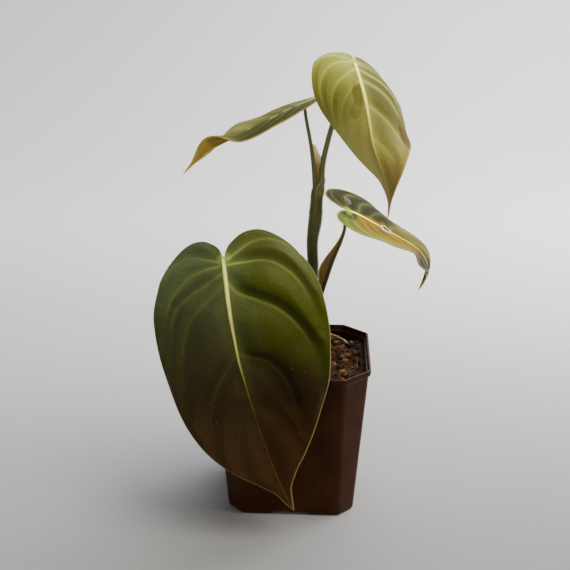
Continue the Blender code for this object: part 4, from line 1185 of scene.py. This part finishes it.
def coir(settings, name, dark, light, streaks):
    """Coconut fibre and husk dust: matt, crumbly, from near black in the damp to orange-brown."""
    made, tree = material(name)
    place = object_place(tree)
    shade = read(tree, "shade")
    grain = cloud(tree, place, 700.0, 4.0, 0.65)
    fine = cloud(tree, place, streaks, 3.0)
    blend = maths(tree, "MULTIPLY_ADD", grain, 0.9, shade)
    spread = ranged(tree, blend, 0.35, 1.5)
    base = ramp(tree, spread, [(0.0, dark), (0.45, settings.coir_brown), (0.8, light),
                               (1.0, "#6a451f")])
    speck = ramp(tree, fine, [(0.32, 0.55), (0.5, 1.0), (0.7, 1.35)])
    base = mixed(tree, 0.8, base, speck, "MULTIPLY")
    bump = relief(tree, 0.8, 0.0002, grain)
    return surfaced(made, {"Base Color": base, "Roughness": 0.92, "Normal": bump,
                           "Specular IOR Level": 0.25})


def husk_chip(share_x, share_y, heading, size, seed):
    """One husk chip: a flattened ball with blunt ends, split and roughened along its fibres.

    radius = 1 + swings of the place on the ball + random grooves that run lengthwise."""
    rows, sides = 30, 34
    u = np.linspace(0.0, math.pi, rows + 2)[1:-1][:, None]
    v = np.linspace(0.0, 2 * math.pi, sides, endpoint=False)[None]
    place = np.stack([np.cos(u) + 0 * v, np.sin(u) * np.cos(v), np.sin(u) * np.sin(v)], axis=-1)
    place = np.vstack([place.reshape(-1, 3), [[1.0, 0, 0]], [[-1.0, 0, 0]]])
    radius = 1 + CHIP_LUMPS * np.sin(3.1 * place[:, 0] + heading) * np.cos(2.7 * place[:, 1] + size * 9)
    groove = noise(place[:, 0] * 1.3 + 5, np.arctan2(place[:, 2], place[:, 1]) * 3.5 + 20, seed)
    pit = noise(place[:, 0] * 4 + 9, place[:, 1] * 4 + place[:, 2] * 3 + 9, seed + 40)
    radius = radius + 0.10 * groove + 0.09 * pit
    half = np.array([CHIP_LENGTH, CHIP_WIDTH, CHIP_THICKNESS]) / 2 * size
    shape = (place * radius[:, None] * half)[None]
    tilt = math.radians(12 * math.sin(heading))
    shape = turned_about(shape, np.zeros(1), np.array([tilt]), np.array([math.radians(heading)]))[0]
    centre = np.array([share_x * INNER_HALF, share_y * INNER_HALF])
    level = mix_height(*centre) + (0.5 - CHIP_SINK) * CHIP_THICKNESS * size
    shape = shape + (*centre, level)
    return loft(shape[:-2].reshape(rows, sides, 3), shape[-2], shape[-1], clockwise=True)


def root_skin(settings):
    """Aerial root in its corky velamen: tan, dull and finely cross-checked."""
    made, tree = material("root_velamen")
    place = object_place(tree)
    mottle = cloud(tree, place, 900.0, 4.0)
    base = ramp(tree, mottle, [(0.3, "#3c2b16"), (0.5, settings.root_tan), (0.75, "#a08a5e")])
    bump = relief(tree, 0.6, 0.0001, mottle)
    return surfaced(made, {"Base Color": base, "Roughness": 0.7, "Normal": bump})


def painted_sweep():
    """Matt paint on the sweep, finely toothed, with painted light: paler towards the back and,
    there, towards the right, as a large soft light leaves it."""
    made, tree = material("matt_painted_sweep")
    place = object_place(tree)
    tooth = cloud(tree, place, 900.0, 2.0)
    across, depth, _ = split(tree, place)
    # Painted light: darker at the front and paler at the back; towards the right, paler at the back and
    # darker at the front.
    back = eased(tree, depth, -0.15, 0.5)
    tone = ramp(tree, back, [(0.0, "#707070"), (0.5, "#bebebe"), (1.0, "#ececec")])
    aside = eased(tree, across, -0.3, 0.3, -0.5, 0.5)
    lean = ranged(tree, depth, -0.12, 0.2, -0.5, 0.22)
    tone = mixed(tree, 1.0, tone, maths(tree, "MULTIPLY_ADD", aside, lean, 0.92), "MULTIPLY")
    grain = ramp(tree, tooth, [(0.3, 0.97), (0.7, 1.0)])
    tone = mixed(tree, 1.0, tone, grain, "MULTIPLY")
    return surfaced(made, {"Base Color": tone, "Roughness": 0.85})


# ---------------------------------------------------------------- settings
class PhilodendronSettings(bpy.types.PropertyGroup):
    """Sizes and colours of the fine model."""
    leaf_thickness: FloatProperty(name="Front leaf thickness", default=0.00055, min=0.0002, max=0.001,
                                  unit="LENGTH", description="Thickness of the velvety front leaf")
    young_thickness: FloatProperty(name="Young leaf thickness", default=0.00042, min=0.0002, max=0.001,
                                   unit="LENGTH", description="Thickness of the three young leaves")
    leaf_quilt: FloatProperty(name="Quilting", default=0.0015, min=0.0, max=0.002, unit="LENGTH",
                              description="How far the front leaf rises between its veins")
    crumb_count: IntProperty(name="Crumbs", default=1500, min=0, max=4000,
                             description="Loose crumbs of mix")
    flake_count: IntProperty(name="Flakes", default=230, min=0, max=800,
                             description="Torn flakes of husk")
    fibre_count: IntProperty(name="Fibres", default=420, min=0, max=1200,
                             description="Loose coir fibres")
    leaf_roughness: FloatProperty(name="Leaf roughness", default=0.6, min=0.0, max=1.0,
                                  description="Roughness of the velvety leaf")
    leaf_bloom: FloatProperty(name="Leaf bloom", default=0.14, min=0.0, max=1.0,
                              description="Strength of the velvet's pale bloom")
    young_roughness: FloatProperty(name="Young leaf roughness", default=0.55, min=0.0, max=1.0,
                                   description="Roughness of the young leaves")
    pot_brown: colour("Pot", "#321b10", "Brown plastic of the pot")
    coir_brown: colour("Coir", "#271607", "Middle brown of the potting mix")
    root_tan: colour("Root", "#6f5835", "Tan of the roots")
    stem_green: colour("Stem", "#4c4d1c", "Green of the stem and petioles")
    sheath_skin: colour("Sheath", "#5e5526", "Brown-green of the leaf sheaths")
    leaf_green: colour("Leaf green", "#42491c", "Green at the top of the front leaf")
    # Bronze low on the front leaf, darkened there also as painted shade.
    leaf_bronze_and_shade: colour("Leaf bronze", "#271505", "Bronze low on the front leaf")
    leaf_vein: colour("Leaf vein", "#7f8942", "Side veins of the front leaf")
    young_tint: colour("Young tint", "#ffffff", "Laid over the green of the young leaves")
    young_deep: colour("Young deep green", "#1a1d09", "Darker parts of the young leaves")
    young_gold: colour("Young gold", "#654a06", "Yellowing parts of the young leaves")
    young_vein: colour("Young vein", "#b4ba62", "Side veins of the young leaves")


# ---------------------------------------------------------------- operators
class PHILODENDRON_OT_pot(bpy.types.Operator):
    """Build the tapered square pot with its lip and the notches and slots of its foot"""
    bl_idname = "philodendron.pot"
    bl_label = "Pot"

    def execute(self, context):
        settings = context.scene.philodendron
        pot = new_piece("fine_pot", *loft(pot_rings(), (0, 0, 0), (0, 0, POT_FLOOR)))
        cutters = [wedge(quarter, inner, outer, section)
                   for quarter in range(4) for (inner, outer), section in FOOT_CUTS]
        for cutter in cutters:
            tool = pot.modifiers.new("cut", "BOOLEAN")
            tool.operation = "DIFFERENCE"
            tool.solver = "EXACT"
            tool.object = cutter
        graph = context.evaluated_depsgraph_get()
        shaped = bpy.data.meshes.new_from_object(pot.evaluated_get(graph))
        pot.modifiers.clear()
        pot.data = shaped
        for cutter in cutters:
            bpy.data.objects.remove(cutter, do_unlink=True)
        pot.data.shade_smooth()
        pot.data.set_sharp_from_angle(angle=math.radians(28))
        settle(pot, moulded_pot(settings), "pot_plastic", "pot")
        return {"FINISHED"}


class PHILODENDRON_OT_mix(bpy.types.Operator):
    """Fill the pot with coir mix, its crumbs, flakes and fibres"""
    bl_idname = "philodendron.mix"
    bl_label = "Potting mix"

    def execute(self, context):
        settings = context.scene.philodendron
        earth = coir(settings, "damp_coir_mix", "#070401", "#3d240c", 2600.0)
        inset = POT_WALL + 0.05 * MM
        low = np.linspace(POT_FLOOR + 0.3 * MM, POT_HEIGHT - MIX_DEPTH_BELOW_LIP, 12)
        side = level_rings(low[:-1], np.full(11, inset))
        # The wall leans out, so the top ring grows a little where the mix stands higher.
        edge = pot_outline(low[-1], inset)[0]
        edge = edge * (1 + 0.004 * (mix_height(edge[:, 0], edge[:, 1]) - low[-1])[:, None] / MM)
        shares = np.linspace(1.0, 0.02, 90)[:, None, None]
        flat = edge[None] * shares
        top = np.concatenate([flat, rough_height(flat[..., 0], flat[..., 1])[..., None]], axis=2)
        rings = np.concatenate([side, top])
        middle = (0.0, 0.0, rough_height(np.zeros(1), np.zeros(1))[0])
        points, quads, fans = loft(rings, (0, 0, low[0]), middle)
        shade = 0.35 + 0.2 * noise(points[:, 0] / (2.2 * MM), points[:, 1] / (2.2 * MM), 31)
        settle(new_piece("fine_mix", points, quads, fans, {"shade": shade}), earth, "coir_mix",
               "potting_mix")
        *surface, shade = joined([crumbs(settings.crumb_count), flakes(settings.flake_count)])
        loose = settle(new_piece("mix_crumbs", *surface, {"shade": shade}), earth, "coir_mix")
        loose.data.shade_flat()
        *surface, shade = fibres(settings.fibre_count)
        straw = coir(settings, "coir_fibre", "#2a1809", "#7a4d20", 900.0)
        settle(new_piece("mix_fibres", *surface, {"shade": 0.4 + 0.6 * shade}), straw, "coir_mix")
        return {"FINISHED"}


class PHILODENDRON_OT_chips(bpy.types.Operator):
    """Lay the larger husk chips in the mix"""
    bl_idname = "philodendron.chips"
    bl_label = "Husk chips"

    def execute(self, context):
        settings = context.scene.philodendron
        husk = coir(settings, "split_coconut_husk", "#2c1809", "#7c4a1c", 1400.0)
        for number, place in enumerate(CHIPS, start=1):
            points, quads, fans = husk_chip(*place, number)
            shade = 0.45 + 0.4 * noise(points[:, 0] / (1.3 * MM), points[:, 1] / (1.3 * MM),
                                       60 + number)
            made = new_piece(f"fine_chip_{number:02d}", points, quads, fans, {"shade": shade})
            settle(made, husk, "husk_chip", f"husk_chip_{number:02d}")
        return {"FINISHED"}


class PHILODENDRON_OT_roots(bpy.types.Operator):
    """Grow the roots in the mix and the one that arches over it"""
    bl_idname = "philodendron.roots"
    bl_label = "Roots"

    def execute(self, context):
        finish = root_skin(context.scene.philodendron)
        foot = stem_line(2)[0]
        drop = foot[2] - ROOT_END
        for number in range(ROOT_COUNT):
            angle = 2 * math.pi * number / ROOT_COUNT + 0.4
            out = np.array([math.cos(angle), math.sin(angle), 0.0])
            reach = ROOT_REACH * (1.0 - 0.12 * (number % 2))
            points = [foot + (0, 0, 1.8 * MM), foot + out * 0.35 * reach - (0, 0, 0.1 * drop),
                      foot * (0.6, 0.6, 1.0) + out * 0.8 * reach - (0, 0, 0.45 * drop),
                      foot * (0.2, 0.2, 1.0) + out * reach - (0, 0, drop)]
            line = smooth_path(points, 48)
            girth = np.linspace(*ROOT_RADII, 48) * MM
            made = new_piece(f"fine_root_{number + 1}", *stalk(line, girth, 16, 5, 0.04))
            settle(made, finish, "root_skin", f"root_{number + 1}")
        points = [stem_line(7)[1]]
        for share_x, share_y, rise in SURFACE_ROOT:
            x, y = share_x * INNER_HALF, share_y * INNER_HALF
            points.append((x, y, mix_height(x, y) + rise * MM))
        line = smooth_path(points, 70)
        girth = np.linspace(0.75, 0.6, 70) * (1 + 0.07 * np.sin(np.arange(70) * 0.9)) * MM
        made = new_piece("fine_surface_root", *stalk(line, girth, 24, 3, 0.05))
        settle(made, finish, "root_skin", "surface_root")
        return {"FINISHED"}


class PHILODENDRON_OT_stem(bpy.types.Operator):
    """Raise the stem and the four leaf stalks that leave it"""
    bl_idname = "philodendron.stem"
    bl_label = "Stem and petioles"

    def execute(self, context):
        settings = context.scene.philodendron
        green = stem_skin(settings, "waxy_stem_skin", "#37330f", "#5b5c28", 0.7)
        rows = 150
        core = stem_line(rows)
        share = np.linspace(0.0, 1.0, rows)
        core[:, 0] += STEM_LEAN
        radii = STEM_STOUT * STEM_RADIUS * through(STEM_HEIGHTS, STEM_SWELLING, share)
        for joint in STEM_JOINTS:
            radii = radii * (1 + 0.05 * np.exp(-((share - joint) / 0.008)**2))
        # Above the fork it runs on inside the upper right petiole and thins out there.
        onward = petiole_line("upper_right", 110)
        onward = onward[(onward[:, 2] > STEM_TOP + 1 * MM) & (onward[:, 2] < STEM_TOP + 9 * MM)]
        line = smooth_path(np.vstack([core[::6], onward[::3]]), rows + 20)
        radii = np.interp(line[:, 2], np.linspace(STEM_FOOT, STEM_TOP, rows), radii)
        radii = radii * (1 - 0.62 * smoothstep(STEM_TOP - 6 * MM, STEM_TOP + 5 * MM, line[:, 2]))
        settle(new_piece("fine_stem", *stalk(line, radii, 40, 7, 0.018)), green, "stem_green", "stem")
        for name in PETIOLES:
            start, end = PETIOLES[name]["radii"]
            line = petiole_line(name, 110)
            girth = PETIOLE_STOUT * np.linspace(start, end, 110) * MM
            rooted = core[np.searchsorted(core[:, 2], line[0, 2] - PETIOLE_ROOT)]
            line = smooth_path(np.vstack([rooted, line[::4], line[-1:]]), 110)
            made = new_piece(f"fine_petiole_{name}", *stalk(line, girth, 28, 5, 0.03))
            settle(made, green, "stem_green", f"petiole_{name}")
        return {"FINISHED"}


class PHILODENDRON_OT_sheaths(bpy.types.Operator):
    """Add the drying sheaths at the fork and beside the lower stalk"""
    bl_idname = "philodendron.sheaths"
    bl_label = "Sheaths"

    def execute(self, context):
        finish = papery_sheath(context.scene.philodendron)
        left, right = petiole_line("upper_left", 80), petiole_line("upper_right", 80)

        def at_heights(line, heights):
            """The line's places at those heights."""
            flat = [np.interp(heights, line[:, 2], line[:, k]) for k in (0, 1)]
            return np.column_stack(flat + [heights])

        share = np.linspace(0.0, 1.0, 60)
        low = STEM_TOP - 3 * MM
        inner = at_heights(left, low + 18.0 * MM * share)
        outer = at_heights(right, low + 13.5 * MM * share)
        kept = 1.0 - 0.55 * smoothstep(0.75, 1.0, share)[:, None]
        outer = inner + (outer - inner) * kept
        bow = (0.0, -0.5 * MM, 0.0)
        made = membrane("fine_sheath_upper", outer, inner, bow, 0.4 * MM, smoothstep(0.2, 1.0, share))
        settle(made, finish, "sheath_skin", "sheath_upper")
        line = petiole_line("lower_right", 120)
        share = np.linspace(0.0, 1.0, 90)
        centre = at_heights(line, POT_HEIGHT + (16.0 + 32.0 * share) * MM)
        widths = through([0.0, 0.3, 0.52, 0.62, 0.75, 1.0],
                         np.array([0.4, 1.2, 2.9, 2.2, 1.0, 0.35]) * MM, share)
        widths = (widths + 0.6 * MM) * (1 - smoothstep(0.72, 1.0, share))
        inner = centre - np.array((0.45 * MM, 0.0, 0.0)) - np.outer(widths, (1.0, 0.25, 0.0))
        outer = centre - np.array((0.4 * MM, 0.0, 0.0))
        made = membrane("fine_sheath_lower", inner, outer, (0.0, -0.4 * MM, 0.0), 0.4 * MM,
                        0.35 * share)
        settle(made, finish, "sheath_skin", "sheath_lower")
        return {"FINISHED"}


class PHILODENDRON_OT_front_leaf(bpy.types.Operator):
    """Hang the large velvety leaf in front of the pot"""
    bl_idname = "philodendron.front_leaf"
    bl_label = "Front leaf"

    def execute(self, context):
        settings = context.scene.philodendron
        made = make_leaf("front", (FRONT_LEFT_VEINS, FRONT_RIGHT_VEINS), 240, 72,
                         settings.leaf_thickness / MM, settings.leaf_quilt / MM,
                         reach=3.8, ridge=0.5, ruffle=0.45, steps=FRONT_STEPS)
        settle(made, velvet_blade(settings), "velvet_leaf", "leaf_front")
        return {"FINISHED"}


class PHILODENDRON_OT_young_leaves(bpy.types.Operator):
    """Hang the three younger, paler leaves"""
    bl_idname = "philodendron.young_leaves"
    bl_label = "Young leaves"

    def execute(self, context):
        settings = context.scene.philodendron
        fresh = young_blade(settings, "young_leaf_cuticle", *FRESH_TONES)
        yellowing = young_blade(settings, "yellowing_leaf_cuticle", *YELLOWING_TONES)
        for name, (vigour, spots) in YOUNG_MARKS.items():
            veins = [(vigour * strength, places) for strength, places in YOUNG_VEINS]
            made = make_leaf(name, (veins, veins), 170, 48, settings.young_thickness / MM,
                             quilt=0.45, reach=2.0, ridge=0.35, ruffle=0.2, patches=spots)
            finish = yellowing if name == "lower_right" else fresh
            settle(made, finish, "young_leaf", f"leaf_{name}")
        water = clear_water()
        for name, place in WATER_BEADS.items():
            settle(new_piece(name, *water_bead("lower_right", *place)), water, "young_leaf")
        return {"FINISHED"}


class PHILODENDRON_OT_stage(bpy.types.Operator):
    """Set the pale sweep, the soft lights and the camera"""
    bl_idname = "philodendron.stage"
    bl_label = "Studio"

    def execute(self, context):
        scene = context.scene
        bend = np.linspace(0.0, math.pi / 2, 40)
        rise = SWEEP_BEND * (1 - np.cos(bend))
        y = np.concatenate([[SWEEP_FRONT], SWEEP_BEND + SWEEP_BEND * np.sin(bend), [2 * SWEEP_BEND]])
        z = np.concatenate([[0.0], rise, [SWEEP_HEIGHT]])
        x = np.linspace(-SWEEP_HALF_WIDTH, SWEEP_HALF_WIDTH, 31)
        points = np.stack([np.tile(x, (len(y), 1)), np.repeat(y[:, None], len(x), 1),
                           np.repeat(z[:, None], len(x), 1)], -1).reshape(-1, 3)
        sweep = new_piece("studio_sweep", points, grid_faces(len(y), len(x))[:, ::-1])
        sweep.data.materials.append(painted_sweep())
        target = Vector(LIGHT_TARGET)
        for name, place, size, power, tint in LIGHTS:
            lamp = bpy.data.lights.new(name, "AREA")
            lamp.shape = "DISK"
            lamp.size = size
            lamp.energy = power
            lamp.color = linear(tint)[:3]
            stand = bpy.data.objects.new(name, lamp)
            stand.location = place
            stand.rotation_euler = (target - Vector(place)).to_track_quat("-Z", "Y").to_euler()
            scene.collection.objects.link(stand)
        world = bpy.data.worlds.new("soft_room")
        world.use_nodes = True
        glow = world.node_tree.nodes["Background"].inputs
        glow["Color"].default_value = linear(ROOM_TINT)
        glow["Strength"].default_value = ROOM_STRENGTH
        scene.world = world
        lens = bpy.data.cameras.new("camera")
        lens.lens = CAMERA_LENS
        lens.sensor_width = CAMERA_SENSOR
        lens.clip_start = 0.01
        eye = bpy.data.objects.new("camera", lens)
        aim = Vector(CAMERA_AIM)
        level = math.cos(CAMERA_RISE)
        eye.location = aim + CAMERA_DISTANCE * Vector((
            math.sin(CAMERA_AZIMUTH) * level, -math.cos(CAMERA_AZIMUTH) * level, math.sin(CAMERA_RISE)))
        eye.rotation_euler = (aim - eye.location).to_track_quat("-Z", "Y").to_euler()
        scene.collection.objects.link(eye)
        scene.camera = eye
        return {"FINISHED"}


PIECES = ("pot", "mix", "chips", "roots", "stem", "sheaths", "front_leaf", "young_leaves", "stage")


class PHILODENDRON_PT_panel(bpy.types.Panel):
    """Lists the sizes, the colours and every piece that can be built"""
    bl_label = "Philodendron"
    bl_idname = "PHILODENDRON_PT_panel"
    bl_space_type = "VIEW_3D"
    bl_region_type = "UI"
    bl_category = "Philodendron"

    def draw(self, context):
        for name in PhilodendronSettings.__annotations__:
            self.layout.prop(context.scene.philodendron, name)
        for piece in PIECES:
            self.layout.operator("philodendron." + piece)


CLASSES = (
    PhilodendronSettings, PHILODENDRON_OT_pot, PHILODENDRON_OT_mix, PHILODENDRON_OT_chips,
    PHILODENDRON_OT_roots, PHILODENDRON_OT_stem, PHILODENDRON_OT_sheaths,
    PHILODENDRON_OT_front_leaf, PHILODENDRON_OT_young_leaves, PHILODENDRON_OT_stage,
    PHILODENDRON_PT_panel)


def register():
    """Add the settings, the operators and the panel."""
    for kind in CLASSES:
        bpy.utils.register_class(kind)
    bpy.types.Scene.philodendron = PointerProperty(type=PhilodendronSettings)


def unregister():
    """Take them away again."""
    del bpy.types.Scene.philodendron
    for kind in reversed(CLASSES):
        bpy.utils.unregister_class(kind)


def main():
    """Build every piece and the studio."""
    register()
    for piece in PIECES:
        getattr(bpy.ops.philodendron, piece)()


if __name__ == "__main__":
    main()
